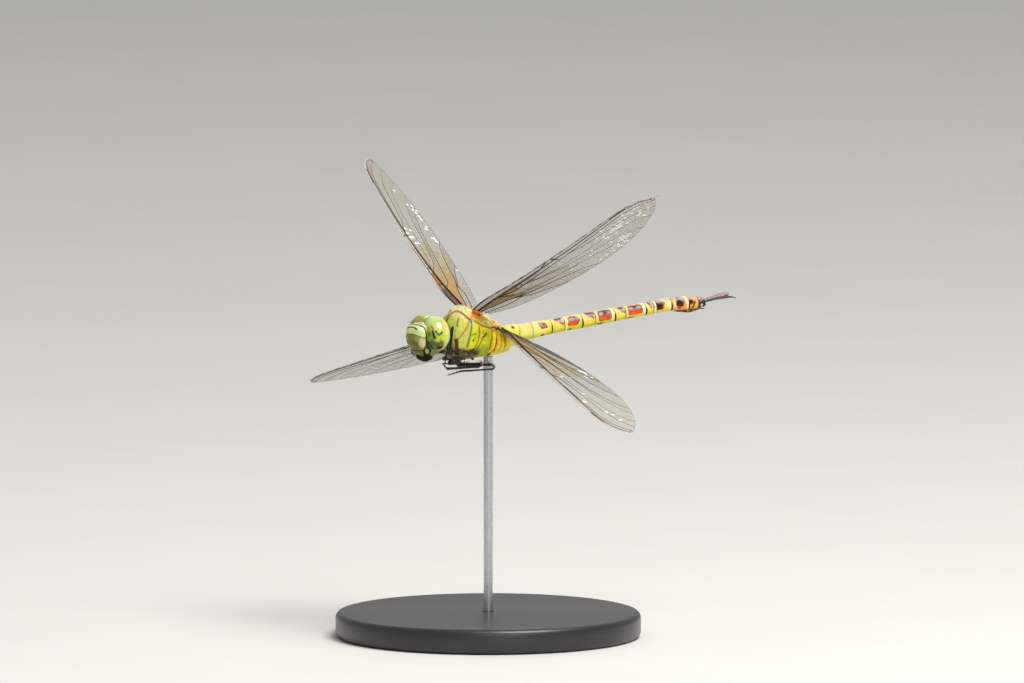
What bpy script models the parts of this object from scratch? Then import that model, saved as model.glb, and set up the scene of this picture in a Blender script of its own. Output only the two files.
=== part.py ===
"""Female hawker dragonfly in level flight, life size, held up by one rod on a round base.

World frame: the head points to -Y, the insect's left is +X, +Z is up, and the origin is the
centre of the base's underside. Lengths below are millimetres. A point of the insect is given as
(forward, left, up) from the middle of its thorax, which hangs HOVER_HEIGHT above the table.
"""
import math

import bmesh
import bpy
from mathutils import Matrix, Vector

MM = 0.001
GAP = 0.3
MODEL = "dragonfly"
CUTTERS = "cutters"
SHARP_ANGLE = math.radians(40)

# Stand
HOVER_HEIGHT = 62.0
ROD_FORWARD = -1.0
ROD_RADIUS = 0.9
ROD_SOCKET_DEPTH = 2.0
BASE_RADIUS = 30.0
BASE_THICKNESS = 5.0
BASE_BEVEL = 1.2

# Wings: lengths, thickness, and how the whole body tips nose-up
FOREWING_LENGTH = 50.0
HINDWING_LENGTH = 48.5
WING_THICKNESS = 0.5
BODY_PITCH = math.radians(3.9)
WING_STATIONS = 22
WING_COLUMNS = 4

# Abdomen: where each segment starts and ends along the body, and the slope of its middle line
ABDOMEN_JOINTS = (-8.1, -15.9, -23.4, -31.5, -39.1, -45.1, -49.0, -52.2, -53.9)
ABDOMEN_START_UP = -2.53
ABDOMEN_SLOPE = 0.0815
ABDOMEN_LEVEL_FROM = -45.1

SIDES = 24
SMALL_SIDES = 16


def clear_scene():
    for item in list(bpy.data.objects):
        bpy.data.objects.remove(item, do_unlink=True)
    for name in (MODEL, CUTTERS):
        collection = bpy.data.collections.new(name)
        bpy.context.scene.collection.children.link(collection)


def material(name, colour, roughness, metallic=0.0):
    made = bpy.data.materials.new(name)
    made.use_nodes = True
    shader = made.node_tree.nodes["Principled BSDF"]
    shader.inputs["Base Color"].default_value = (*colour, 1.0)
    shader.inputs["Roughness"].default_value = roughness
    shader.inputs["Metallic"].default_value = metallic
    return made


def body_point(forward, left, up):
    """World place, in metres, of a point of the insect."""
    return Vector((left, ROD_FORWARD - forward, HOVER_HEIGHT + up)) * MM


def add_object(name, mesh, colour, roughness=0.5, metallic=0.0, collection=MODEL):
    item = bpy.data.objects.new(name, mesh)
    mesh.materials.append(material(name, colour, roughness, metallic))
    bpy.data.collections[collection].objects.link(item)
    return item


def finish_mesh(bm, name):
    bmesh.ops.recalc_face_normals(bm, faces=bm.faces)
    mesh = bpy.data.meshes.new(name)
    bm.to_mesh(mesh)
    bm.free()
    mesh.shade_smooth()
    mesh.set_sharp_from_angle(angle=SHARP_ANGLE)
    return mesh


def loft_mesh(name, rings):
    """Closed skin over a row of rings that have equal numbers of points."""
    bm = bmesh.new()
    rows = [[bm.verts.new(point) for point in ring] for ring in rings]
    for near, far in zip(rows, rows[1:]):
        for index in range(len(near)):
            after = (index + 1) % len(near)
            bm.faces.new((near[index], near[after], far[after], far[index]))
    bm.faces.new(rows[0])
    bm.faces.new(rows[-1])
    return finish_mesh(bm, name)


def signed_power(value, power):
    return math.copysign(abs(value) ** power, value)


def upright_ring(top, bottom, half_width, widest=0.5, top_power=2.2, low_power=2.2, grow=0.0,
                 sides=SIDES):
    """Section between two (forward, up) points of the middle line, square to the sideways axis.

    widest is how far down the broadest line lies. The powers set how boxy each half is.
    """
    top, bottom = Vector(top), Vector(bottom)
    down = (bottom - top).normalized() * grow
    top, bottom = top - down, bottom + down
    middle = top.lerp(bottom, widest)
    ring = []
    for step in range(sides):
        angle = 2 * math.pi * (step + 0.5) / sides
        rise = math.sin(angle)
        power = top_power if rise > 0 else low_power
        side = signed_power(math.cos(angle), 2 / power) * (half_width + grow)
        end = top if rise > 0 else bottom
        spine = middle.lerp(end, abs(rise) ** (2 / power))
        ring.append(body_point(spine.x, side, spine.y))
    return ring


def level_ring(up, back, front, half_width, power=2.2):
    """Section of the face at one height, between its back and its front."""
    middle = (back + front) / 2
    reach = (front - back) / 2
    ring = []
    for step in range(SIDES):
        angle = 2 * math.pi * (step + 0.5) / SIDES
        forward = middle + signed_power(math.cos(angle), 2 / power) * reach
        side = signed_power(math.sin(angle), 2 / power) * half_width
        ring.append(body_point(forward, side, up))
    return ring


def ellipsoid(centre, reach, lean=0.0, pitch=0.0, grow=0.0, segments=SIDES, rings=SMALL_SIDES):
    """Ellipsoid with reaches (forward, left, up), leaned sideways and then tipped forward."""
    bm = bmesh.new()
    forward, left, up = (value + grow for value in reach)
    turn = Matrix.Rotation(-pitch, 4, "X") @ Matrix.Rotation(lean, 4, "Y")
    place = Matrix.Translation(body_point(*centre)) @ turn
    size = Matrix.Diagonal((left * MM, forward * MM, up * MM, 1.0))
    bmesh.ops.create_uvsphere(bm, u_segments=segments, v_segments=rings, radius=1.0,
                              matrix=place @ size)
    return bm


def trim(item, *cutters):
    """Cut an object back to the clearance bodies of its neighbours."""
    for cutter in cutters:
        cut = item.modifiers.new("meet_" + cutter.name, "BOOLEAN")
        cut.operation = "DIFFERENCE"
        cut.solver = "EXACT"
        cut.object = cutter


def cutter_object(name, mesh):
    item = bpy.data.objects.new(name, mesh)
    bpy.data.collections[CUTTERS].objects.link(item)
    item.hide_render = True
    item.display_type = "WIRE"
    return item


def tube_mesh(name, points, radii, resolution=2):
    """Tapered round bar through body points, as a mesh with closed ends."""
    curve = bpy.data.curves.new(name, "CURVE")
    curve.dimensions = "3D"
    curve.bevel_depth = MM
    curve.bevel_resolution = resolution
    curve.use_fill_caps = True
    spline = curve.splines.new("POLY")
    spline.points.add(len(points) - 1)
    for target, place, radius in zip(spline.points, points, radii):
        target.co = (*body_point(*place), 1.0)
        target.radius = radius
    item = bpy.data.objects.new(name, curve)
    bpy.context.scene.collection.objects.link(item)
    bpy.context.view_layer.update()
    mesh = bpy.data.meshes.new_from_object(item.evaluated_get(bpy.context.evaluated_depsgraph_get()))
    bpy.data.objects.remove(item, do_unlink=True)
    bm = bmesh.new()
    bm.from_mesh(mesh)
    bpy.data.meshes.remove(mesh)
    bmesh.ops.remove_doubles(bm, verts=bm.verts, dist=1e-6)
    return finish_mesh(bm, name)


# ---------------------------------------------------------------- thorax

# top forward, top up, bottom forward, bottom up, half width, upper boxiness
THORAX_SECTIONS = (
    (9.2, 1.0, 9.6, -4.6, 2.1, 2.0),
    (8.3, 2.35, 9.3, -5.6, 3.0, 2.1),
    (7.0, 3.2, 8.5, -6.3, 3.6, 2.3),
    (5.4, 3.45, 7.2, -6.6, 4.0, 2.5),
    (3.2, 2.85, 5.2, -6.7, 4.15, 2.6),
    (1.0, 1.75, 2.6, -6.65, 4.15, 2.1),
    (-1.0, 0.85, -0.2, -6.5, 4.0, 1.6),
    (-2.5, 0.15, -2.8, -6.3, 3.6, 1.35),
    (-3.3, -0.3, -4.5, -6.05, 3.0, 1.4),
    (-3.6, -0.9, -5.1, -5.7, 2.4, 1.6),
)
THORAX_COLOUR = (0.62, 0.66, 0.22)


def thorax_mesh(name, grow=0.0):
    rings = []
    last = len(THORAX_SECTIONS) - 1
    for index, (top_forward, top_up, low_forward, low_up, width, power) in enumerate(THORAX_SECTIONS):
        along = grow if index == 0 else -grow if index == last else 0.0
        rings.append(upright_ring((top_forward + along, top_up), (low_forward + along, low_up),
                                  width, widest=0.58, top_power=power, grow=grow))
    return loft_mesh(name, rings)


# Collar-like first segment of the thorax: top and bottom as (forward, up), half width
COLLAR_SECTIONS = (((9.9, -0.1), (9.95, -4.3), 1.5), ((10.2, 0.5), (10.3, -4.7), 1.8),
                   ((10.7, 0.2), (10.75, -4.3), 1.5))
COLLAR_COLOUR = (0.55, 0.52, 0.28)
NECK_LINE = ((11.0, 0, -1.6), (11.55, 0, -1.6))
NECK_RADIUS = 0.9
NECK_COLOUR = (0.30, 0.26, 0.14)


def build_thorax():
    add_object("thorax", thorax_mesh("thorax"), THORAX_COLOUR)
    return cutter_object("clear_thorax", thorax_mesh("clear_thorax", grow=GAP))


def build_neck():
    """The collar, and the thin neck that carries the head."""
    rings = [upright_ring(top, bottom, width, sides=SMALL_SIDES)
             for top, bottom, width in COLLAR_SECTIONS]
    add_object("prothorax", loft_mesh("prothorax", rings), COLLAR_COLOUR)
    neck = tube_mesh("neck", NECK_LINE, (NECK_RADIUS, NECK_RADIUS), resolution=4)
    add_object("neck", neck, NECK_COLOUR, 0.6)


# ---------------------------------------------------------------- abdomen

def abdomen_middle(forward):
    """Height of the abdomen's middle line."""
    reach = ABDOMEN_JOINTS[0] - max(forward, ABDOMEN_LEVEL_FROM)
    return ABDOMEN_START_UP + ABDOMEN_SLOPE * reach


# forward, half height, half width of the sections from the third segment on
ABDOMEN_PROFILE = (
    (-8.1, 1.68, 1.35), (-12.0, 1.66, 1.30), (-15.9, 1.40, 1.18), (-20.0, 1.38, 1.15),
    (-23.4, 1.42, 1.18), (-31.5, 1.32, 1.15), (-39.1, 1.24, 1.12), (-45.1, 1.28, 1.15),
    (-49.0, 1.35, 1.18), (-52.2, 1.22, 1.10), (-53.9, 0.85, 0.85),
)
# The two swollen first segments: top and bottom as (forward, up), half width
ABDOMEN_BASE = (
    (((-3.95, -0.85), (-5.25, -5.2), 1.9), ((-4.3, -0.75), (-5.45, -5.35), 2.05),
     ((-4.6, -0.8), (-5.6, -5.35), 2.05)),
    (((-4.9, -0.8), (-5.85, -5.3), 2.05), ((-6.0, -0.8), (-6.6, -5.0), 1.85),
     ((-7.8, -0.8), (-7.9, -4.35), 1.5)),
)
ABDOMEN_COLOUR = (0.72, 0.66, 0.30)
ROUNDED_END = 0.08    # share of a segment over which its ends draw in
# Egg sheath: forward, drop below the abdomen's middle line, height, half width
SHEATH_SECTIONS = (
    (-46.6, 1.62, 0.10, 0.35), (-47.6, 1.62, 0.28, 0.62), (-50.0, 1.62, 0.62, 0.70),
    (-52.2, 1.52, 0.50, 0.60), (-53.4, 1.38, 0.18, 0.35),
)
SHEATH_COLOUR = (0.20, 0.12, 0.05)


def abdomen_half_sizes(forward):
    for near, far in zip(ABDOMEN_PROFILE, ABDOMEN_PROFILE[1:]):
        if forward >= far[0]:
            share = (near[0] - forward) / (near[0] - far[0])
            return [a + (b - a) * share for a, b in zip(near[1:], far[1:])]
    return ABDOMEN_PROFILE[-1][1:]


def abdomen_ring(forward, scale=1.0, grow=0.0):
    half_height, half_width = abdomen_half_sizes(forward)
    middle = abdomen_middle(forward)
    lean = ABDOMEN_SLOPE if forward > ABDOMEN_LEVEL_FROM else 0.0
    tall = half_height * scale
    return upright_ring((forward + lean * tall, middle + tall), (forward - lean * tall, middle - tall),
                        half_width * scale, top_power=2.4, low_power=2.3, grow=grow, sides=SMALL_SIDES)


def abdomen_base_rings(grow=0.0):
    return [[upright_ring(top, bottom, width, grow=grow, sides=SMALL_SIDES)
             for top, bottom, width in rows] for rows in ABDOMEN_BASE]


def build_abdomen(clear_thorax):
    for number, rings in enumerate(abdomen_base_rings(), start=1):
        name = f"abdomen_{number:02d}"
        trim(add_object(name, loft_mesh(name, rings), ABDOMEN_COLOUR), clear_thorax)
    joints = list(zip(ABDOMEN_JOINTS, ABDOMEN_JOINTS[1:]))
    for number, (front, back) in enumerate(joints, start=3):
        front, back = front - GAP / 2, back + GAP / 2
        draw = (front - back) * ROUNDED_END
        rings = [abdomen_ring(front, 0.94), abdomen_ring(front - draw),
                 abdomen_ring((front + back) / 2), abdomen_ring(back + draw),
                 abdomen_ring(back, 0.96)]
        name = f"abdomen_{number:02d}"
        add_object(name, loft_mesh(name, rings), ABDOMEN_COLOUR)
    base = abdomen_base_rings(grow=GAP)
    third = [abdomen_ring(ABDOMEN_JOINTS[0], grow=GAP), abdomen_ring(ABDOMEN_JOINTS[1], grow=GAP)]
    return cutter_object("clear_abdomen", loft_mesh("clear_abdomen", base[0] + base[1] + third))


def build_ovipositor():
    middle = abdomen_middle(ABDOMEN_LEVEL_FROM)
    rings = [upright_ring((forward, middle - drop), (forward, middle - drop - tall), width,
                          sides=SMALL_SIDES) for forward, drop, tall, width in SHEATH_SECTIONS]
    item = add_object("ovipositor", loft_mesh("ovipositor", rings), SHEATH_COLOUR)
    clear = [abdomen_ring(forward, grow=GAP) for forward in ABDOMEN_JOINTS[4:]]
    trim(item, cutter_object("clear_tail", loft_mesh("clear_tail", clear)))


# name, side and height of the tip of each leaf-shaped tail plate
CERCI = (("cercus_left", 1, 0.99), ("cercus_right", -1, 1.75))
CERCUS_ROOT = (-54.2, 0.55, 0.60)
CERCUS_TIP = (-61.2, 1.25)
CERCUS_WIDTH = 1.7
CERCUS_THICKNESS = 0.5
CERCUS_ROLL = math.radians(28)
CERCUS_COLOUR = (0.42, 0.34, 0.30)


def build_cerci():
    for name, side, tip_up in CERCI:
        root = Vector((CERCUS_ROOT[0], side * CERCUS_ROOT[1], CERCUS_ROOT[2]))
        tip = Vector((CERCUS_TIP[0], side * CERCUS_TIP[1], tip_up))
        across = Vector((0, side * math.cos(CERCUS_ROLL), math.sin(CERCUS_ROLL)))
        normal = Vector((0, -side * math.sin(CERCUS_ROLL), math.cos(CERCUS_ROLL)))
        rings = []
        for share in (0.0, 0.12, 0.3, 0.5, 0.7, 0.88, 1.0):
            spread = 0.28 + 0.72 * math.sin(math.pi * min(1.0, share * 0.95 + 0.02)) ** 0.8
            half = CERCUS_WIDTH / 2 * spread
            middle = root.lerp(tip, share)
            rings.append([body_point(*(middle + across * half * math.cos(turn)
                                       + normal * CERCUS_THICKNESS / 2 * math.sin(turn)))
                          for turn in (2 * math.pi * (step + 0.5) / 8 for step in range(8))])
        add_object(name, loft_mesh(name, rings), CERCUS_COLOUR, 0.35)


# ---------------------------------------------------------------- wings

# Edges as (share of the span, chord share); the front edge is positive
FORE_FRONT = ((0, 0.035), (0.1, 0.056), (0.3, 0.056), (0.48, 0.055), (0.7, 0.045), (0.88, 0.028),
              (0.96, -0.003), (1, -0.048))
FORE_BACK = ((0, -0.05), (0.1, -0.098), (0.3, -0.14), (0.6, -0.17), (0.8, -0.155), (0.94, -0.11),
             (1, -0.062))
HIND_FRONT = ((0, 0.02), (0.1, 0.04), (0.41, 0.055), (0.7, 0.045), (0.88, 0.024), (0.96, -0.01),
              (1, -0.053))
HIND_BACK = ((0, -0.12), (0.08, -0.2), (0.25, -0.225), (0.55, -0.21), (0.75, -0.18), (0.92, -0.12),
             (1, -0.067))

# length, edges, hinge (forward, left, up), then in degrees or shares, each as (mean, left extra):
# elevation, forward sweep, root twist, twist gained towards the tip, upward bend
WINGS = {
    "fore": (FOREWING_LENGTH, FORE_FRONT, FORE_BACK, (2.75, 2.13, 2.55),
             (26.7, -0.7), (-6.8, -1.7), (10.1, 1.5), (5.9, -7.4), (0.0946, 0.0043)),
    "hind": (HINDWING_LENGTH, HIND_FRONT, HIND_BACK, (-2.54, 1.91, -1.01),
             (-18.2, 0.8), (9.8, -4.4), (16.2, 2.7), (-16.2, -8.4), (-0.0134, -0.0312)),
}
WING_COLOUR = (0.60, 0.58, 0.50)


def along_edge(edge, share):
    """Smooth value of an edge table at one share of the span."""
    index = max(i for i, (place, _) in enumerate(edge[:-1]) if place <= share)
    before, here = edge[max(index - 1, 0)], edge[index]
    after, beyond = edge[index + 1], edge[min(index + 2, len(edge) - 1)]
    width = after[0] - here[0]
    step = (share - here[0]) / width
    enter = (after[1] - before[1]) / max(after[0] - before[0], 1e-6) * width
    leave = (beyond[1] - here[1]) / max(beyond[0] - here[0], 1e-6) * width
    a = 2 * step ** 3 - 3 * step ** 2 + 1
    b = step ** 3 - 2 * step ** 2 + step
    c = 3 * step ** 2 - 2 * step ** 3
    d = step ** 3 - step ** 2
    return a * here[1] + b * enter + c * after[1] + d * leave


def wing_matrix(side, hinge, elevation, sweep):
    """Places a wing whose local axes are outward span, backward chord and upper side."""
    forward, left, up = hinge
    place = Matrix.Translation(body_point(forward, side * left, up))
    pitch = Matrix.Rotation(-BODY_PITCH, 4, "X")
    swing = Matrix.Rotation(-side * sweep, 4, "Z")
    lift = Matrix.Rotation(-side * elevation, 4, "Y")
    return place @ pitch @ swing @ lift


def wing_sheet(name, side, length, front, back, twist, twist_gain, bend):
    """Open, twisted and bent sheet between the two edges."""
    bm = bmesh.new()
    rows = []
    for station in range(WING_STATIONS + 1):
        share = math.sin(math.pi / 2 * station / WING_STATIONS) ** 1.15
        lead, trail = along_edge(front, share), along_edge(back, share)
        turn = twist + twist_gain * share
        row = []
        for column in range(WING_COLUMNS + 1):
            chord = lead + (trail - lead) * column / WING_COLUMNS
            rise = chord * math.sin(turn) + bend * share ** 2
            place = Vector((side * share, -chord * math.cos(turn), rise)) * length * MM
            row.append(bm.verts.new(place))
        rows.append(row)
    for near, far in zip(rows, rows[1:]):
        for column in range(WING_COLUMNS):
            bm.faces.new((near[column], near[column + 1], far[column + 1], far[column]))
    return finish_mesh(bm, name)


def build_wings(cutters):
    for pair, (length, front, back, hinge, *angles) in WINGS.items():
        for label, side in (("left", 1), ("right", -1)):
            lift, sweep, twist, gain, bend = (mean + side * extra for mean, extra in angles)
            name = f"wing_{pair}_{label}"
            sheet = wing_sheet(name, side, length, front, back, math.radians(twist),
                               math.radians(gain), bend)
            item = add_object(name, sheet, WING_COLOUR, 0.15)
            item.matrix_world = wing_matrix(side, hinge, math.radians(lift), math.radians(sweep))
            skin = item.modifiers.new("thickness", "SOLIDIFY")
            skin.thickness = WING_THICKNESS * MM
            skin.offset = 0.0
            trim(item, *cutters)


# ---------------------------------------------------------------- legs

# Joints of each leg as (forward, outward, up): hip, start and end of the thigh, start and end of
# the shin, and the claw
LEGS = {
    "fore_left": ((9.2, 1.2, -5.0), (10.0, 2.1, -5.2), (9.9, 3.0, 0.0), (10.6, 3.6, 0.0),
                  (11.45, 3.15, -4.6), (11.75, 2.9, -6.9)),
    "fore_right": ((9.2, 1.2, -5.0), (10.0, 2.1, -5.2), (9.9, 3.0, 0.0), (10.6, 3.6, 0.0),
                   (11.45, 3.15, -4.6), (11.75, 2.9, -6.9)),
    "mid_left": ((7.4, 1.2, -6.0), (9.4, 2.5, -6.8), (3.3, 3.3, -7.1), (3.3, 3.35, -7.95),
                 (9.6, 3.4, -7.95), (11.3, 3.4, -7.8)),
    "mid_right": ((7.1, 1.2, -6.0), (8.0, 2.5, -6.8), (0.6, 3.3, -7.1), (0.6, 3.35, -7.95),
                  (6.0, 3.3, -7.95), (7.4, 3.2, -7.8)),
    "hind_left": ((5.4, 0.9, -6.1), (7.6, 1.5, -7.6), (-0.4, 2.25, -8.1), (-0.4, 2.3, -8.95),
                  (7.3, 2.15, -8.85), (10.2, 2.15, -9.35)),
    "hind_right": ((5.4, 0.9, -6.1), (7.4, 1.5, -7.6), (-0.4, 2.25, -8.1), (-0.4, 2.3, -8.95),
                   (7.3, 2.15, -8.85), (8.4, 2.05, -7.9)),
}
KNEE_REACH = 0.35
LEG_COLOUR = (0.03, 0.028, 0.025)
LEG_RADII = (0.60, 0.52, 0.47, 0.44, 0.38, 0.33, 0.29, 0.27, 0.25, 0.25)


def leg_route(hip, thigh, thigh_end, shin, shin_end, claw):
    """Middle line of a folded leg, rounded where it turns back at the knee."""
    thigh, thigh_end, shin, shin_end = (Vector(place) for place in (thigh, thigh_end, shin, shin_end))
    outward = (thigh_end - thigh).normalized()
    knee = thigh_end.lerp(shin, 0.5) + outward * KNEE_REACH
    return (hip, thigh, thigh.lerp(thigh_end, 0.12), thigh.lerp(thigh_end, 0.5), thigh_end, knee,
            shin, shin.lerp(shin_end, 0.5), shin_end, claw)


def build_legs(cutters):
    for label, joints in LEGS.items():
        side = 1 if label.endswith("left") else -1
        points = [(forward, side * left, up) for forward, left, up in leg_route(*joints)]
        name = "leg_" + label
        trim(add_object(name, tube_mesh(name, points, LEG_RADII), LEG_COLOUR, 0.3), *cutters)


# ---------------------------------------------------------------- head

# top forward, top up, bottom forward, bottom up, half width
HEAD_SECTIONS = (
    (11.6, 0.5, 11.9, -4.4, 2.6), (12.0, 1.1, 12.4, -5.2, 3.3), (13.4, 1.3, 13.6, -5.7, 3.4),
    (14.6, 1.1, 14.7, -5.6, 3.0), (15.5, 1.1, 15.5, -5.1, 2.4), (16.2, 0.8, 16.0, -4.4, 1.6),
)
EYE_CENTRE = (13.5, 2.45, -0.85)
EYE_REACH = (2.6, 2.65, 3.55)
EYE_LEAN = math.radians(31)
EYE_PITCH = math.radians(8)
SEAM_HALF = GAP / 2

# up, back, front, half width of the sections of each piece of the face
FACE_SECTIONS = {
    "frons": ((0.75, 16.0, 17.1, 1.9), (0.55, 15.6, 17.4, 2.4), (0.0, 15.2, 17.65, 2.7),
              (-0.75, 15.2, 17.8, 2.75)),
    "clypeus": ((-1.05, 15.2, 17.85, 2.75), (-1.8, 15.2, 17.95, 2.75), (-3.1, 15.2, 17.6, 2.65),
                (-4.05, 15.2, 17.1, 2.4)),
    "labrum": ((-4.35, 15.4, 16.9, 1.7), (-4.9, 15.4, 16.6, 1.6), (-5.5, 15.4, 16.1, 1.25)),
    "labium": ((-5.8, 13.2, 16.4, 1.9), (-6.3, 13.2, 16.1, 1.9), (-6.8, 13.5, 15.5, 1.5),
               (-7.0, 13.9, 15.0, 0.9)),
}
FACE_COLOURS = {"frons": (0.62, 0.68, 0.45), "clypeus": (0.35, 0.36, 0.14),
                "labrum": (0.30, 0.31, 0.10), "labium": (0.03, 0.03, 0.02)}
HEAD_COLOUR = (0.35, 0.42, 0.22)
EYE_COLOUR = (0.50, 0.58, 0.20)
MANDIBLE_CENTRE = (15.5, 2.35, -5.05)
MANDIBLE_REACH = (0.75, 0.45, 0.65)
MANDIBLE_COLOUR = (0.10, 0.12, 0.04)
ANTENNA_LINE = ((15.3, 1.1, 0.6), (15.6, 1.25, 1.5), (16.5, 1.65, 1.75), (17.7, 2.1, 1.75))
ANTENNA_RADII = (0.30, 0.27, 0.25, 0.25)
ANTENNA_COLOUR = (0.03, 0.03, 0.03)


def head_mesh(name, grow=0.0):
    rings = []
    last = len(HEAD_SECTIONS) - 1
    for index, (top_forward, top_up, low_forward, low_up, width) in enumerate(HEAD_SECTIONS):
        along = -grow if index == 0 else grow if index == last else 0.0
        rings.append(upright_ring((top_forward + along, top_up), (low_forward + along, low_up),
                                  width, widest=0.55, grow=grow))
    return loft_mesh(name, rings)


def eye_mesh(name, side, grow=0.0):
    """Tall ellipsoid leaning to the middle line, cut off where the two eyes meet."""
    forward, left, up = EYE_CENTRE
    bm = ellipsoid((forward, side * left, up), EYE_REACH, -side * EYE_LEAN, EYE_PITCH, grow)
    seam = body_point(0, side * max(SEAM_HALF - grow, 0.0), 0)
    cut = bmesh.ops.bisect_plane(bm, geom=bm.verts[:] + bm.edges[:] + bm.faces[:], plane_co=seam,
                                 plane_no=(-side, 0, 0), clear_outer=True)
    rim = [edge for edge in cut["geom_cut"] if isinstance(edge, bmesh.types.BMEdge)]
    bmesh.ops.contextual_create(bm, geom=rim)
    return finish_mesh(bm, name)


def build_head():
    add_object("head", head_mesh("head"), HEAD_COLOUR)
    clear_head = cutter_object("clear_head", head_mesh("clear_head", grow=GAP))
    clear_eyes = []
    for label, side in (("left", 1), ("right", -1)):
        name = "eye_" + label
        trim(add_object(name, eye_mesh(name, side), EYE_COLOUR, 0.15), clear_head)
        clear_eyes.append(cutter_object("clear_" + name, eye_mesh("clear_" + name, side, GAP)))
    for name, sections in FACE_SECTIONS.items():
        rings = [level_ring(*section) for section in sections]
        trim(add_object(name, loft_mesh(name, rings), FACE_COLOURS[name], 0.4), clear_head,
             *clear_eyes)
    for label, side in (("left", 1), ("right", -1)):
        name = "mandible_" + label
        forward, left, up = MANDIBLE_CENTRE
        bm = ellipsoid((forward, side * left, up), MANDIBLE_REACH, segments=12, rings=8)
        trim(add_object(name, finish_mesh(bm, name), MANDIBLE_COLOUR, 0.3), clear_head)
    return clear_head


def build_antennae(cutters):
    for label, side in (("left", 1), ("right", -1)):
        name = "antenna_" + label
        points = [(forward, side * left, up) for forward, left, up in ANTENNA_LINE]
        trim(add_object(name, tube_mesh(name, points, ANTENNA_RADII), ANTENNA_COLOUR, 0.4), *cutters)


# ---------------------------------------------------------------- stand

BASE_SIDES = 64
ROD_SIDES = 20
BASE_COLOUR = (0.02, 0.02, 0.022)
ROD_COLOUR = (0.55, 0.56, 0.58)


def cylinder(sides, radius, depth, middle_up):
    """Upright bar round the stand's axis; lengths in millimetres."""
    bpy.ops.mesh.primitive_cylinder_add(vertices=sides, radius=radius * MM, depth=depth * MM,
                                        location=(0, 0, middle_up * MM))
    return bpy.context.object


def build_stand(clear_thorax):
    base = cylinder(BASE_SIDES, BASE_RADIUS, BASE_THICKNESS, BASE_THICKNESS / 2)
    move_to(base, "stand_base", MODEL, BASE_COLOUR, 0.35)
    bevel = base.modifiers.new("soft_rim", "BEVEL")
    bevel.width = BASE_BEVEL * MM
    bevel.segments = 3
    bevel.limit_method = "ANGLE"
    floor_of_socket = BASE_THICKNESS - ROD_SOCKET_DEPTH
    socket = cylinder(ROD_SIDES, ROD_RADIUS + GAP, 2 * ROD_SOCKET_DEPTH, BASE_THICKNESS)
    move_to(socket, "socket", CUTTERS)
    trim(base, socket)
    foot = floor_of_socket + GAP
    length = HOVER_HEIGHT - foot
    rod = cylinder(ROD_SIDES, ROD_RADIUS, length, foot + length / 2)
    move_to(rod, "stand_rod", MODEL, ROD_COLOUR, 0.3, 1.0)
    trim(rod, clear_thorax)


def move_to(item, name, collection, colour=None, roughness=0.5, metallic=0.0):
    """Name a fresh primitive and put it in its collection."""
    item.name = name
    item.data.name = name
    for owner in list(item.users_collection):
        owner.objects.unlink(item)
    bpy.data.collections[collection].objects.link(item)
    if collection == CUTTERS:
        item.hide_render = True
        item.display_type = "WIRE"
    else:
        item.data.materials.append(material(name, colour, roughness, metallic))


def main():
    clear_scene()
    clear_thorax = build_thorax()
    build_neck()
    clear_abdomen = build_abdomen(clear_thorax)
    build_ovipositor()
    build_cerci()
    build_wings((clear_thorax, clear_abdomen))
    build_legs((clear_thorax,))
    clear_head = build_head()
    build_antennae((clear_head,))
    build_stand(clear_thorax)


main()
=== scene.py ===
"""Looks of a life-size hawker dragonfly: patterned cuticle, glossy eyes, veined wings, stand.

A place on the insect is (forward, left, up) in millimetres from the middle of its thorax, and
world() turns it into the frame's metres. Marks are given for the left side and mirrored.
"""
import math

import bpy
import numpy as np
from mathutils import Matrix, Vector, geometry

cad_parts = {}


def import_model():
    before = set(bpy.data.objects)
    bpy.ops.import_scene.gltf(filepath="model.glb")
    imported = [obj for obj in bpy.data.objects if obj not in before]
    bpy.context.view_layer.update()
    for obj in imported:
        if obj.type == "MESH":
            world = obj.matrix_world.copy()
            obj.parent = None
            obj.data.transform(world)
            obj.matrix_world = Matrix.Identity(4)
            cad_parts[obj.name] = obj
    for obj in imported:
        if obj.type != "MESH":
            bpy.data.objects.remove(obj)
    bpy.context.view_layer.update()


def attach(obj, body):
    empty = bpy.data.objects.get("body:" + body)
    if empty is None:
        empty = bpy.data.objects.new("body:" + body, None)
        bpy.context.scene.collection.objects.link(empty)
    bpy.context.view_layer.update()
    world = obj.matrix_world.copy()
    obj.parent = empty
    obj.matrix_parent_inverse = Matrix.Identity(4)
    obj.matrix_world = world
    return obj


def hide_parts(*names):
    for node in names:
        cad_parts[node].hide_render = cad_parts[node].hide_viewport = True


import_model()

MM = 0.001
HOVER_HEIGHT = 62.0
ROD_FORWARD = -1.0
SIDES = (("left", 1), ("right", -1))
BLACK = (0.010, 0.009, 0.010)
WHITE = (1, 1, 1)
rng = np.random.default_rng(7)


# ---------------------------------------------------------------- numbers and curves

def world(points):
    """Places on the insect, as metres in the frame."""
    points = np.asarray(points, float)
    return np.stack((points[..., 1], ROD_FORWARD - points[..., 0], HOVER_HEIGHT + points[..., 2]), -1) * MM


def read(table, at):
    """Smooth reading of rows of (place, value, value ...), one row of values for each place."""
    table = np.asarray(table, float)
    at = np.atleast_1d(np.asarray(at, float))
    places, values = table[:, 0], table[:, 1:]
    order = np.arange(len(table))
    low, high = np.maximum(order - 1, 0), np.minimum(order + 1, len(table) - 1)
    slopes = (values[high] - values[low]) / (places[high] - places[low])[:, None]
    i = np.clip(np.searchsorted(places, at, side="right") - 1, 0, len(table) - 2)
    width = (places[i + 1] - places[i])[:, None]
    s = np.clip((at - places[i])[:, None] / width, 0, 1)
    return ((2 * s ** 3 - 3 * s ** 2 + 1) * values[i] + (s ** 3 - 2 * s ** 2 + s) * slopes[i] * width
            + (3 * s ** 2 - 2 * s ** 3) * values[i + 1] + (s ** 3 - s ** 2) * slopes[i + 1] * width)


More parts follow.
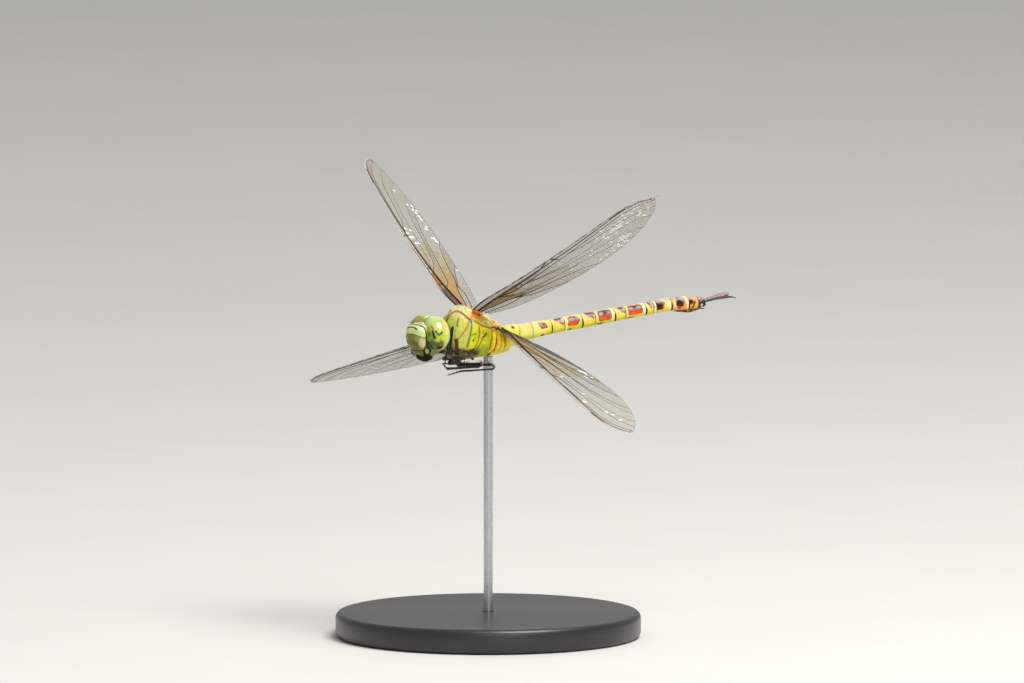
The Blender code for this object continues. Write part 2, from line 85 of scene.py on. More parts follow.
def resample(points, count):
    """Smooth line through points, at even steps along it, with any extra columns carried."""
    points = np.asarray(points, float)
    reach = np.concatenate(((0,), np.cumsum(np.linalg.norm(np.diff(points[:, :3], axis=0), axis=1))))
    return read(np.column_stack((reach, points)), np.linspace(0, reach[-1], count))


def rise(value, start, end):
    """0 before start, 1 after end, smooth between them; falls instead where end is the smaller."""
    s = np.clip((value - start) / (end - start), 0, 1)
    return s * s * (3 - 2 * s)


def bell(value, reach):
    """1 at 0, falling off smoothly over the reach."""
    return np.exp(-(value / reach) ** 2)


def powered(value, power):
    return np.sign(value) * np.abs(value) ** power


def turns(count, start=0.0):
    """Angles of even steps round a circle."""
    return 2 * math.pi * (np.arange(count) + start) / count


def unit(vectors):
    """The same directions, one long."""
    return vectors / np.maximum(np.linalg.norm(vectors, axis=-1, keepdims=True), 1e-12)


def away(points, line):
    """Distance of each place from a broken line."""
    best = np.full(points.shape[:-1], np.inf)
    line = np.asarray(line, float)
    for a, b in zip(line, line[1:]):
        step = b - a
        share = np.clip(((points - a) @ step) / (step @ step), 0, 1)
        best = np.minimum(best, np.linalg.norm(points - a - share[..., None] * step, axis=-1))
    return best


def laid(line, grid):
    """A smooth line through the given places, in short steps that lie on a skin."""
    skin = grid.reshape(-1, 3)
    length = np.linalg.norm(np.diff(np.asarray(line, float), axis=0), axis=1).sum()
    steps = resample(line, max(3, int(length / 0.22)))
    on_skin = np.array([skin[np.argmin(np.linalg.norm(skin - step, axis=1))] for step in steps])
    for _ in range(3):
        on_skin[1:-1] = (on_skin[:-2] + 2 * on_skin[1:-1] + on_skin[2:]) / 4
    moved = np.linalg.norm(np.diff(on_skin, axis=0), axis=1) > 0.01
    return on_skin[np.append(True, moved)]


def wavy(points, scale):
    """Smooth irregular value from -1 to 1, always the same for the same place."""
    x, y, z = (points[..., axis] / scale for axis in range(3))
    return (np.sin(1.7 * x + 2.3 * np.sin(0.9 * y)) + np.sin(2.1 * y + 1.9 * np.sin(1.3 * z))
            + np.sin(1.9 * z + 2.1 * np.sin(1.1 * x))) / 3


# ---------------------------------------------------------------- paint

def on_left(points):
    """The same places, all on the left side, and their forward, left and up values."""
    p = points * (1, 0, 1) + np.abs(points) * (0, 1, 0)
    return p, p[..., 0], p[..., 1], p[..., 2]


def spot(points, centre, reach, soft=0.25):
    """Cover of a painted oval with reaches along each axis."""
    gap = np.linalg.norm((points - np.asarray(centre)) / np.asarray(reach), axis=-1)
    return rise(gap, 1 + soft, 1 - soft)


def blend(colours, cover, colour):
    """Paint a colour over others by its cover."""
    return colours + (np.asarray(colour) - colours) * cover[..., None]


def painted(points, base, *layers):
    """A base colour for each place, with layers of (cover, colour) painted over it in turn."""
    colours = np.broadcast_to(np.asarray(base, float), points.shape)
    for cover, colour in layers:
        colours = blend(colours, cover, colour)
    return colours


# ---------------------------------------------------------------- meshes

def new_piece(name, data):
    piece = bpy.data.objects.new(name, data)
    bpy.context.scene.collection.objects.link(piece)
    return piece


class Shell:
    """A growing mesh, with a colour at each point and a material number on each face."""

    def __init__(self):
        self.points, self.colours, self.faces, self.kinds, self.count = [], [], [], [], 0

    def add(self, points, faces, colour, kind=0):
        points = np.asarray(points, float).reshape(-1, 3)
        colour = np.asarray(colour, float)
        colour = colour.reshape(-1, 3) if colour.size > 3 else np.tile(colour, (len(points), 1))
        self.points.append(points)
        self.colours.append(colour)
        self.faces += [[corner + self.count for corner in face] for face in faces]
        self.kinds += [kind] * len(faces)
        self.count += len(points)

    def add_grid(self, grid, colour):
        """Skin over rows of rings, closed at both ends and facing outward."""
        rows, sides = grid.shape[:2]
        faces = ring_faces(rows, sides)
        corners = grid.reshape(-1, 3)[faces] - grid.reshape(-1, 3).mean(0)
        outward = np.einsum("ij,ij->", np.cross(corners[:, 1] - corners[:, 0],
                                                corners[:, 2] - corners[:, 0]), corners.mean(1))
        first, last = list(range(sides)), list(range((rows - 1) * sides, rows * sides))
        if outward < 0:
            faces, first, last = faces[:, ::-1], first[::-1], last[::-1]
        self.add(grid, faces.tolist() + [first[::-1], last], colour)

    def build(self, name, slot, materials, nodes=(), metres=False):
        points = np.concatenate(self.points)
        mesh = bpy.data.meshes.new(name)
        mesh.from_pydata((points if metres else world(points)).tolist(), [], self.faces)
        marks = mesh.color_attributes.new("markings", "FLOAT_COLOR", "POINT")
        colours = np.concatenate(self.colours)
        marks.data.foreach_set("color", np.column_stack((colours, np.ones(len(colours)))).ravel())
        for item in materials:
            mesh.materials.append(item)
        mesh.polygons.foreach_set("material_index", self.kinds)
        mesh.shade_smooth()
        piece = new_piece(name, mesh)
        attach(piece, "root")
        if nodes:
            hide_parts(*nodes)
        return piece


def ring_faces(rows, sides):
    index = np.arange(rows * sides).reshape(rows, sides)
    after = np.roll(index, -1, axis=1)
    return np.stack((index[:-1], after[:-1], after[1:], index[1:]), -1).reshape(-1, 4)


def ring_grid(sections, sides, widest=0.5, top_power=2.2, low_power=2.2):
    """Rings square to the sideways axis from (top f, top u, bottom f, bottom u, half width)."""
    sections = np.asarray(sections, float)[:, None, :]
    angle = turns(sides, 0.5)
    lift, out = np.sin(angle)[None], np.cos(angle)[None]
    power = np.where(lift > 0, np.asarray(top_power, float).reshape(-1, 1), low_power)
    top, bottom = sections[..., 0:2], sections[..., 2:4]
    middle = top + (bottom - top) * widest
    end = np.where(lift[..., None] > 0, top, bottom)
    spine = middle + (end - middle) * (np.abs(lift) ** (2 / power))[..., None]
    side = powered(out, 2 / power) * sections[..., 4]
    return np.stack((spine[..., 0], side, spine[..., 1]), -1)


def level_grid(rows, count, sides, boxy=1.0, height=0.0):
    """Level rings from rows of (depth below a height, back, front, half width)."""
    depths = np.linspace(rows[0][0], rows[-1][0], count)
    back, front, wide = read(rows, depths).T[..., None]
    angle = turns(sides, 0.5)
    return np.stack(((back + front) / 2 + powered(np.cos(angle), boxy) * ((front - back) / 2),
                     powered(np.sin(angle), boxy) * wide, (height - depths)[:, None] + 0 * angle), -1)


def capped(grid, depth):
    """The same rings with a domed end at each side."""
    turn = np.linspace(0, math.pi / 2, 8)[1:, None, None]
    domes = []
    for ring, inner in ((grid[0], grid[1]), (grid[-1], grid[-2])):
        centre = ring.mean(0)
        spread = np.maximum(np.cos(turn), 0.02)
        domes.append(centre + (ring - centre) * spread + unit(centre - inner.mean(0)) * depth * np.sin(turn))
    return np.concatenate((domes[0][::-1], grid, domes[1]))


def grid_normals(grid):
    """Outward direction at each point of a grid of rings."""
    around = np.roll(grid, -1, axis=1) - np.roll(grid, 1, axis=1)
    normals = np.cross(around, np.gradient(grid, axis=0))
    normals /= np.maximum(np.linalg.norm(normals, axis=-1, keepdims=True), 1e-9)
    inward = np.einsum("ijk,ijk->", normals, grid - grid.reshape(-1, 3).mean(0)) < 0
    return -normals if inward else normals


def pressed(grid, relief):
    """The grid with each point moved out of the smooth skin by its relief."""
    return grid + grid_normals(grid) * relief[..., None]


def ellipsoid_grid(centre, reach, turn=None, rows=24, sides=32):
    """Ellipsoid with reaches (forward, left, up), turned by a matrix in the frame's axes."""
    down = np.linspace(0.02, math.pi - 0.02, rows)[:, None]
    round_ = turns(sides)[None]
    ball = np.stack((np.sin(down) * np.cos(round_), np.sin(down) * np.sin(round_),
                     np.cos(down) + 0 * round_), -1)
    frame_axes = ball * (reach[1], reach[0], reach[2])
    if turn is not None:
        frame_axes = frame_axes @ np.array(turn.to_3x3()).T
    return np.stack((-frame_axes[..., 1], frame_axes[..., 0], frame_axes[..., 2]), -1) + centre


def tube_grid(points, radii, sides=8):
    """Rings round a broken line, carried along it without twisting."""
    points = np.asarray(points, float)
    radii = np.broadcast_to(np.asarray(radii, float), (len(points),))
    step = np.gradient(points, axis=0)
    step /= np.maximum(np.linalg.norm(step, axis=1, keepdims=True), 1e-9)
    side = np.cross(step[0], (0.0, 0.3, 1.0))
    if np.linalg.norm(side) < 0.1:
        side = np.cross(step[0], (1.0, 0.0, 0.0))
    angle = turns(sides)[:, None]
    rings = []
    for place, ahead, radius in zip(points, step, radii):
        side = unit(side - ahead * (side @ ahead))
        rings.append(place + radius * (np.cos(angle) * side + np.sin(angle) * np.cross(ahead, side)))
    return np.array(rings)


# ---------------------------------------------------------------- materials

MIX_BELOW, MIX_ABOVE, MIXED = 6, 7, 2
RELIEF_DEPTH = 0.00003


def new_material(name, roughness=0.5, metallic=0.0, coat=0.0, alpha=1.0, specular=0.5):
    made = bpy.data.materials.new(name)
    made.use_nodes = True
    shader = made.node_tree.nodes["Principled BSDF"]
    for socket, value in (("Roughness", roughness), ("Metallic", metallic), ("Coat Weight", coat),
                          ("Coat Roughness", 0.12), ("Specular IOR Level", specular), ("Alpha", alpha)):
        shader.inputs[socket].default_value = value
    return made, made.node_tree, shader


def add_noise(tree, scale, kind="ShaderNodeTexNoise"):
    """Noise laid out in the frame's metres; scale is how many grains fit in a metre."""
    place = tree.nodes.new("ShaderNodeTexCoord")
    noise = tree.nodes.new(kind)
    noise.inputs["Scale"].default_value = scale
    if "Detail" in noise.inputs:
        noise.inputs["Detail"].default_value = 3.0
    tree.links.new(place.outputs["Object"], noise.inputs["Vector"])
    return noise


def spread_value(tree, source, low, high):
    """The source's 0 to 1 laid out between two values."""
    mapped = tree.nodes.new("ShaderNodeMapRange")
    mapped.inputs["To Min"].default_value = low
    mapped.inputs["To Max"].default_value = high
    tree.links.new(source, mapped.inputs["Value"])
    return mapped.outputs["Result"]


def add_speckle(tree, shader, scale, dark, light, gloss=None):
    """A base colour that wanders between two tones, and a roughness that goes with it."""
    noise = add_noise(tree, scale)
    ramp = tree.nodes.new("ShaderNodeValToRGB")
    for stop, tone in zip(ramp.color_ramp.elements, (dark, light)):
        stop.color = (*tone, 1)
    tree.links.new(noise.outputs["Fac"], ramp.inputs["Fac"])
    tree.links.new(ramp.outputs["Color"], shader.inputs["Base Color"])
    if gloss:
        tree.links.new(spread_value(tree, noise.outputs["Fac"], *gloss), shader.inputs["Roughness"])


def cuticle(name, roughness=0.4, mottle=0.25, bump=0.25, coat=0.0, pits=0.0, broad=900.0, specular=0.5):
    """Hard insect skin: painted marks, mottled at two sizes, with fine grain in gloss and relief."""
    made, tree, shader = new_material(name, roughness, coat=coat, specular=specular)
    marks = tree.nodes.new("ShaderNodeAttribute")
    marks.attribute_name = "markings"
    patches, grain = add_noise(tree, broad), add_noise(tree, 6000.0)
    shade = tree.nodes.new("ShaderNodeMix")
    shade.data_type = "RGBA"
    shade.blend_type = "MULTIPLY"
    shade.inputs["Factor"].default_value = 1.0
    level = spread_value(tree, patches.outputs["Fac"], 1.0 - mottle, 1.0 + mottle)
    tree.links.new(marks.outputs["Color"], shade.inputs[MIX_BELOW])
    tree.links.new(level, shade.inputs[MIX_ABOVE])
    tree.links.new(shade.outputs[MIXED], shader.inputs["Base Color"])
    gloss = spread_value(tree, grain.outputs["Fac"], roughness - 0.08, roughness + 0.12)
    tree.links.new(gloss, shader.inputs["Roughness"])
    relief = tree.nodes.new("ShaderNodeBump")
    relief.inputs["Strength"].default_value = bump
    relief.inputs["Distance"].default_value = RELIEF_DEPTH
    height = add_noise(tree, pits, "ShaderNodeTexVoronoi").outputs["Distance"] if pits else grain.outputs["Fac"]
    tree.links.new(height, relief.inputs["Height"])
    tree.links.new(relief.outputs["Normal"], shader.inputs["Normal"])
    return made


# ---------------------------------------------------------------- body: thorax, collar, abdomen

# top forward, top up, bottom forward, bottom up, half width, upper boxiness
THORAX_SECTIONS = (
    (9.2, 1.0, 9.6, -4.6, 2.1, 2.0), (8.3, 2.35, 9.3, -5.6, 3.0, 2.1), (7.0, 3.2, 8.5, -6.3, 3.6, 2.3),
    (5.4, 3.45, 7.2, -6.6, 4.0, 2.5), (3.2, 2.85, 5.2, -6.7, 4.15, 2.6), (1.0, 1.75, 2.6, -6.65, 4.15, 2.1),
    (-1.0, 0.85, -0.2, -6.5, 4.0, 1.6), (-2.5, 0.15, -2.8, -6.3, 3.6, 1.35),
    (-3.3, -0.3, -4.5, -6.05, 3.0, 1.4), (-3.6, -0.9, -5.1, -5.7, 2.4, 1.6),
)
# half width and colour of the painted line, half width and height of its ridge or crease, places
THORAX_LINES = (
    # keel, crest and the crest's end
    (0.15, (0.30, 0.05, 0.015), 0.20, 0.08, ((9.5, 0.0, -0.8), (9.35, 0.0, 0.2), (9.2, 0.0, 0.9))),
    (0.17, (0.30, 0.04, 0.012), 0.20, 0.10,
     ((9.2, 0.1, 0.9), (8.6, 0.2, 1.8), (8.0, 0.4, 2.5), (7.4, 0.8, 2.8), (7.1, 1.6, 2.7), (6.7, 2.5, 2.1),
      (6.3, 3.1, 1.5), (6.0, 3.4, 1.1))),
    (0.14, (0.60, 0.20, 0.14), 0, 0, ((6.0, 3.4, 1.1), (5.4, 3.2, 1.7), (5.0, 2.9, 2.1))),
    # shoulder: seam, dash and front strip
    (0.12, (0.52, 0.20, 0.12), 0.17, -0.15,
     ((6.0, 3.4, 1.1), (6.6, 3.5, 0.3), (7.0, 3.6, -0.4), (7.6, 3.5, -1.1), (8.2, 3.3, -1.9), (8.7, 3.1, -2.4))),
    (0.12, (0.28, 0.08, 0.01), 0, 0, ((7.9, 2.2, 1.5), (8.3, 2.4, 0.8), (8.6, 2.6, 0.2))),
    (0.26, (0.60, 0.13, 0.015), 0, 0, ((9.3, 0.7, 0.1), (9.3, 1.3, -1.0), (9.4, 1.6, -1.8))),
    # middle seam, the fold behind it and the arc across
    (0.08, (0.10, 0.15, 0.01), 0.17, -0.20,
     ((5.8, 3.5, 0.9), (5.9, 3.8, -0.1), (6.2, 3.9, -1.2), (6.6, 3.9, -2.6), (7.0, 3.7, -4.0))),
    (0.06, (0.16, 0.19, 0.01), 0.20, -0.16,
     ((4.1, 3.9, -0.2), (4.1, 4.1, -1.4), (4.3, 4.1, -2.3), (4.7, 4.1, -3.3), (5.1, 3.8, -4.3), (6.0, 3.5, -4.7))),
    (0.05, (0.14, 0.15, 0.01), 0.15, -0.08, ((6.1, 4.0, -1.8), (5.5, 4.0, -1.6), (4.9, 4.0, -1.5))),
    # rear seam and its streak, back seam, line under the wings
    (0.07, (0.10, 0.12, 0.01), 0.17, -0.15, ((3.4, 4.1, -2.5), (3.8, 4.1, -3.1), (4.2, 4.0, -3.9), (4.9, 3.7, -4.6))),
    (0.14, (0.16, 0.03, 0.01), 0.18, -0.10, ((3.4, 4.1, -2.3), (2.9, 4.1, -2.0), (2.5, 4.0, -1.6))),
    (0.08, (0.16, 0.18, 0.005), 0.20, -0.22, ((0.6, 3.4, -0.9), (1.0, 4.0, -2.4), (1.4, 4.1, -3.7), (1.4, 3.6, -4.9))),
    (0.10, (0.42, 0.09, 0.01), 0.16, -0.10,
     ((5.3, 3.4, 1.1), (4.5, 3.6, 0.6), (3.6, 3.8, 0.1), (2.3, 3.7, -0.3), (1.0, 3.5, -0.7))),
    # red streaks of the rear, edge of the belly, maroon band
    (0.15, (0.40, 0.05, 0.005), 0.2, -0.10, ((-0.1, 4.0, -2.9), (0.0, 4.0, -3.9), (0.3, 3.8, -4.6), (0.1, 3.3, -5.2))),
    (0.10, (0.42, 0.08, 0.005), 0.22, -0.14,
     ((-2.3, 3.0, -2.2), (-2.5, 3.3, -2.9), (-2.5, 3.6, -3.8), (-2.6, 3.4, -4.5))),
    (0.10, (0.28, 0.07, 0.01), 0.2, -0.10, ((1.0, 2.5, -6.0), (0.7, 3.1, -5.5), (0.4, 3.6, -4.9))),
    (0.33, (0.085, 0.014, 0.016), 0, 0, ((8.9, 2.9, -2.6), (8.9, 2.9, -3.5), (8.7, 2.7, -4.7))),
)
BREATHING_HOLE = (5.7, 4.0, -2.7)
# swellings and hollows between the wings: centre, reach, height
THORAX_BUMPS = (
    ((5.0, 0.0, 3.3), 1.3, 0.25), ((2.6, 0.0, 2.5), 0.7, 0.35), ((-0.6, 0.0, 1.0), 0.8, 0.25),
    ((6.2, 1.2, 3.2), 0.8, 0.12), ((3.6, 1.6, 2.7), 0.6, -0.25), ((-0.4, 1.6, 0.9), 0.6, -0.2),
    ((3.6, 0.0, 2.9), 0.6, -0.15),
)
# knobs at the wing roots: centre on the left, reach, colour
WING_KNOBS = (
    ((4.6, 2.6, 2.35), (0.50, 0.45, 0.42), (0.62, 0.10, 0.01)),
    ((3.9, 2.75, 2.65), (0.42, 0.40, 0.34), (0.86, 0.30, 0.015)),
    ((3.2, 2.75, 2.50), (0.42, 0.40, 0.34), (0.86, 0.36, 0.03)),
    ((2.7, 2.70, 2.25), (0.34, 0.36, 0.30), (0.88, 0.50, 0.07)),
    ((3.4, 2.75, 2.05), (0.40, 0.40, 0.32), (0.42, 0.08, 0.01)),
    ((3.9, 1.5, 2.95), (0.7, 0.45, 0.26), (0.70, 0.60, 0.22)),
    ((0.85, 3.25, -0.70), (0.40, 0.32, 0.30), (0.60, 0.16, 0.01)),
    ((0.35, 3.30, -1.05), (0.42, 0.34, 0.32), (0.80, 0.36, 0.02)),
    ((-0.5, 2.9, -0.60), (0.55, 0.40, 0.26), (0.80, 0.34, 0.03)),
    ((-1.6, 2.5, -0.65), (0.55, 0.42, 0.26), (0.72, 0.40, 0.06)),
    ((-1.0, 1.4, 0.45), (0.7, 0.45, 0.26), (0.70, 0.60, 0.22)),
)
# number in order, then top forward, top up, bottom forward, bottom up, half width
COLLAR = (
    (0, 9.6, -0.3, 9.6, -4.2, 1.3), (1, 9.95, 0.25, 9.97, -4.5, 1.65), (2, 10.2, 0.5, 10.3, -4.7, 1.8),
    (3, 10.45, 0.35, 10.5, -4.55, 1.7), (4, 10.7, 0.2, 10.75, -4.3, 1.5),
)
FOLD_SPACING = 1.25


def rear_folds(p):
    """Even upright folds of the rear side, from -1 in the valleys to 1 on the ridges."""
    return np.cos(2 * math.pi / FOLD_SPACING * (p[..., 0] + 0.12 * p[..., 2]) + 0.8 * wavy(p, 0.8))


def thorax_colours(points):
    """Panels of green, yellow and orange, without their lines, and painted light and shade on the rear folds."""
    p, f, l, u = on_left(points)
    strip = rise(f - 0.55 * u, 6.2, 5.7) * rise(u, -0.9, 0.4)
    behind = rise(f + 0.28 * u, 5.75, 5.35)
    top = rise(u - 0.45 * f, -1.3, -0.6) * rise(f, 6.6, 5.8)
    between_wings = rise(l, 2.6, 1.6) * rise(u, 1.6, 2.3) * rise(f, 4.6, 5.4)
    low_side = rise(u, -3.2, -4.6) * rise(f, 5.6, 4.6) * rise(f, 1.0, 1.6)
    rear = rise(f + 0.15 * u, 0.75, 0.45) * rise(u, -0.7, -1.5)
    folds = 0.5 + 0.5 * rear_folds(p)
    under = rise(u - 0.12 * f, -4.9, -5.6) * rise(f, 3.2, 4.6)
    return painted(
        p, (0.47, 0.52, 0.085),
        (rise(wavy(p, 1.1), 0.0, 0.7) * 0.5, (0.56, 0.54, 0.05)),
        (strip * 0.85, (0.56, 0.70, 0.34)),
        (behind, (0.72, 0.66, 0.012)),
        (behind * rise(wavy(p, 0.9), 0.0, 0.6) * 0.7, (0.40, 0.47, 0.008)),
        (behind * rise(u, -1.8, -0.4) * 0.6, (0.88, 0.78, 0.05)),
        (top, (0.66, 0.47, 0.05)),
        (top * rise(wavy(p, 0.55), -0.1, 0.5) * 0.8, (0.74, 0.66, 0.30)),
        (top * rise(wavy(p, 0.4), 0.15, 0.6) * 0.7, (0.66, 0.26, 0.03)),
        (between_wings * 0.7, (0.62, 0.60, 0.28)),
        (low_side * 0.8, (0.30, 0.36, 0.01)),
        (rear, (0.98, 0.66, 0.010)),
        # painted highlight on the ridges of the rear folds, then painted shade in their valleys
        (rear * folds * 0.8, (1.0, 0.88, 0.06)),
        (rear * rise(folds, 0.22, 0.0) * 0.6, (0.66, 0.26, 0.003)),
        (rear * rise(u, -4.4, -5.4) * 0.7, (0.62, 0.56, 0.006)),
        (under, (0.11, 0.08, 0.022)),
        (under * rise(wavy(p, 0.20), 0.25, 0.45), (0.32, 0.27, 0.07)),
        (under * rise(wavy(p, 0.33), 0.0, 0.2), (0.022, 0.012, 0.010)),
        (spot(p, (5.6, 3.6, -4.9), (0.7, 1.2, 0.5)), (0.06, 0.03, 0.02)),
        (spot(p, (0.9, 2.6, -6.0), (0.35, 0.6, 0.4)), (0.08, 0.03, 0.01)),
        (spot(p, (3.9, 2.9, 2.1), (1.3, 1.0, 0.8), 0.4) * 0.85, (0.74, 0.26, 0.015)),
        (spot(p, (0.4, 3.5, -1.0), (0.9, 0.9, 0.6), 0.4) * 0.85, (0.95, 0.42, 0.015)))


def build_thorax(skin):
    """Add the thorax with its lines painted on and pressed in, and give back its grid."""
    last = len(THORAX_SECTIONS) - 1
    dense = read(np.column_stack((np.arange(last + 1), THORAX_SECTIONS)), np.linspace(0, last, 280))
    grid = capped(ring_grid(dense[:, :5], 440, widest=0.58, top_power=dense[:, 5]), 0.15)
    p, f, _, u = on_left(grid)
    colours = thorax_colours(grid) * (1 + 0.11 * wavy(p, 0.30) + 0.05 * wavy(p, 0.14))[..., None]
    relief = 0.03 * wavy(p, 0.7) + 0.010 * wavy(p, 0.26) * rise(u, 1.5, 0.5)
    for half, colour, reach, height, line in THORAX_LINES:
        far = away(p, laid(line, grid))
        if height:
            relief += height * (bell(far, reach) - 0.35 * bell(far - 2.6 * reach, 1.3 * reach))
        far = far + 0.03 * wavy(p, 0.16)
        # painted shade: a soft darkening along each line, as shadow along its seam
        colours = blend(colours, rise(far, half + 0.30, half + 0.02) * 0.25, (0, 0, 0))
        colours = blend(colours, rise(far, half + 0.09, half - 0.06), colour)
    colours = blend(colours, spot(p, BREATHING_HOLE, (0.20, 0.5, 0.24)), (0.02, 0.02, 0.01))
    rear = rise(f + 0.15 * u, 0.6, 0.2) * rise(u, -0.9, -1.8) * rise(f, -3.2, -2.6)
    relief += 0.06 * rear * rear_folds(p)
    for centre, reach, height in ((BREATHING_HOLE, 0.42, 0.10), (BREATHING_HOLE, 0.17, -0.20), *THORAX_BUMPS):
        relief += height * bell(np.linalg.norm(p - centre, axis=-1), reach)
    grid = pressed(grid, relief)
    skin.add_grid(grid, colours)
    return grid


ABDOMEN_JOINTS = (-4.75, -8.1, -15.9, -23.4, -31.5, -39.2, -45.5, -49.8, -52.2, -53.9)
ABDOMEN_RIDGES = (-11.05, -19.0, -26.6, -34.1, -41.0)
# middle place along the body, then top f, top u, bottom f, bottom u, half width
ABDOMEN_BASE = (
    (-4.6, -3.95, -0.85, -5.25, -5.2, 1.9), (-5.1, -4.6, -0.8, -5.6, -5.35, 2.05),
    (-6.3, -6.0, -0.8, -6.6, -5.0, 1.85), (-7.85, -7.8, -0.8, -7.9, -4.35, 1.5),
)
# place along the body, half height, half width
ABDOMEN_PROFILE = (
    (-9.2, 1.66, 1.34), (-12.0, 1.66, 1.30), (-15.9, 1.42, 1.18), (-20.0, 1.38, 1.15), (-23.4, 1.42, 1.18),
    (-31.5, 1.32, 1.15), (-39.1, 1.24, 1.12), (-45.1, 1.28, 1.15), (-49.0, 1.35, 1.18), (-52.2, 1.22, 1.10),
    (-53.9, 0.85, 0.85),
)
ABDOMEN_SLOPE = 0.0815
# segment number: front patch's start, end and strength; rear patch's start, end, top and bottom
ABDOMEN_PATCHES = {
    1: (0.10, 0.45, 0.15, 0.60, 0.84, 0.85, 0.05),
    2: (0.12, 0.38, 1.0, 0.53, 0.88, 0.95, -0.30),
    3: (0.10, 0.36, 1.0, 0.46, 0.90, 0.98, -0.42),
    4: (0.10, 0.30, 1.0, 0.38, 0.90, 0.98, -0.42),
    5: (0.08, 0.22, 1.0, 0.31, 0.72, 0.98, -0.45),
    6: (0.06, 0.20, 1.0, 0.26, 0.72, 0.98, -0.35),
    7: (0.00, 0.10, 0.0, 0.02, 0.42, 0.98, -0.05),
}
# segment number, share of its length, half length of the dark mark low on the side
LOW_MARKS = ((1, 0.66, 0.06), (2, 0.56, 0.07), (3, 0.50, 0.11), (4, 0.46, 0.13))
FIRST_DARK_SEGMENT = 5


def abdomen_middle(forward):
    """Height of the abdomen's middle line behind its swollen base."""
    return -2.53 + ABDOMEN_SLOPE * (-8.1 - np.maximum(forward, -45.1))


def abdomen_sections():
    rows = [(-row[0], *row[1:]) for row in ABDOMEN_BASE]
    for forward, tall, wide in ABDOMEN_PROFILE:
        middle, lean = abdomen_middle(forward), ABDOMEN_SLOPE * tall
        rows.append((-forward, forward + lean, middle + tall, forward - lean, middle - tall, wide))
    return rows


def segment_share(forward):
    """Which segment each place is in, counted from 0, and how far back in it, 0 to 1."""
    joints = -np.array(ABDOMEN_JOINTS)
    number = np.clip(np.searchsorted(joints, -forward, side="right") - 1, 0, len(joints) - 2)
    start, end = joints[number], joints[number + 1]
    return number, (-forward - start) / (end - start)


def patch_layers(p, height, number, share):
    """Brown patches, orange below and a painted lilac highlight where they shine: two in each segment."""
    upper, edge = rise(height, -0.1, 0.7), 0.06 * wavy(p, 0.45)
    glare = rise(height, 0.15, 0.6) * rise(height, 0.98, 0.66) * rise(wavy(p, 0.5), -1.0, 0.2)
    patch = painted(p, (0.72, 0.085, 0.001),
                    (upper, (0.085, 0.022, 0.02)),
                    (rise(wavy(p, 0.5), 0.0, 0.5) * 0.6, (0.38, 0.035, 0.001)),
                    (0.8 * glare, (0.48, 0.35, 0.38)))
    off_middle = rise(p[..., 1], 0.06, 0.16)
    at = share + 0.6 * edge
    for segment, (start, end, strength, rear_start, rear_end, top, low) in ABDOMEN_PATCHES.items():
        here = (number == segment) * off_middle
        slope = start + (end - start) * rise(height, 0.95, -0.15)
        yield (here * rise(at, slope - 0.03, slope + 0.03) * rise(at, end + 0.015, end - 0.015)
               * rise(height, -0.30, 0.0) * strength, patch)
        ripple, lean = (edge, 0.0) if segment > 1 else (0.4 * edge, 0.12)
        middle, rows = (rear_start + rear_end) / 2, (top + low) / 2
        gap = (np.abs((share + 0.6 * ripple - middle + lean * (height - rows)) * 2 / (rear_end - rear_start)) ** 4
               + np.abs((height + ripple - rows) * 2 / (top - low)) ** 4) ** 0.25
        dark = segment >= FIRST_DARK_SEGMENT
        shade = 0.92 * dark * rise(at, rear_end - 0.02, rear_end - 0.14) * rise(height, 0.80, 0.45)
        rim = rise(gap, 0.80, 0.98) * (0.3 if dark else 0.75)
        tone = blend(blend(patch, shade, (0, 0, 0)), rim, (0.13, 0.012, 0.006))
        yield here * rise(gap, 1.08, 0.93), tone


def ring_layers(p, height, along):
    """Cream bands, black joints and thin ridge lines round the abdomen, with the marks of its end."""
    for joint in ABDOMEN_JOINTS[4:-2]:
        slant = 0.25 * rise(height, 0.6, -0.6) if joint < -49 else 0.0
        band = rise(np.abs(along - joint - 0.58 + slant), 0.40, 0.26) * rise(height, -0.85, -0.6)
        yield band * 0.9, (0.88, 0.76, 0.36)
    for stripe in (-41.45, -46.15):
        yield rise(np.abs(along - stripe), 0.24, 0.12) * rise(height, -0.8, -0.5) * 0.9, (0.86, 0.72, 0.30)
    low_tail = rise(np.abs(along + 47.2), 1.3, 0.9) * rise(np.abs(height + 0.52), 0.26, 0.14)
    yield low_tail * rise(wavy(p, 0.4), -0.6, 0.0), (0.42, 0.03, 0.04)
    streak = rise(np.abs(along + 0.55 * height + 51.0), 0.32, 0.16)
    yield streak * rise(height, 0.5, 0.2) * rise(height, -0.9, -0.7), (0.03, 0.015, 0.02)
    # lilac along the top of the rear segments: partly pruinose bloom, partly painted highlight
    bloom_and_sheen = rise(height, 0.35, 0.75) * rise(along, -37, -42) * rise(wavy(p, 0.5), -0.5, 0.3)
    yield bloom_and_sheen * 0.75, (0.42, 0.33, 0.38)
    ring = painted(p, BLACK, (rise(height, 0.3, 0.9), (0.10, 0.06, 0.07)))
    for joint in ABDOMEN_JOINTS[1:-1]:
        half = 0.07 + 0.17 * rise(height, 0.6, -0.2) * rise(along, -10, -20)
        slant = 0.5 * rise(height, 1.0, 0.2) if joint > -10 else 0.0
        yield rise(np.abs(along - joint - slant), half + 0.05, half - 0.04), ring
    for ridge in ABDOMEN_RIDGES:
        half = 0.035 + (0.03 * rise(height, 0.2, -0.5) if ridge > -12 else 0.055 * rise(height, -0.9, -0.4))
        yield rise(np.abs(along - ridge), half + 0.05, half - 0.03), (0.035, 0.02, 0.015)
        yield rise(np.abs(along - ridge + 0.40), 0.34, 0.16) * rise(along, -14, -18) * 0.6, (0.84, 0.72, 0.30)


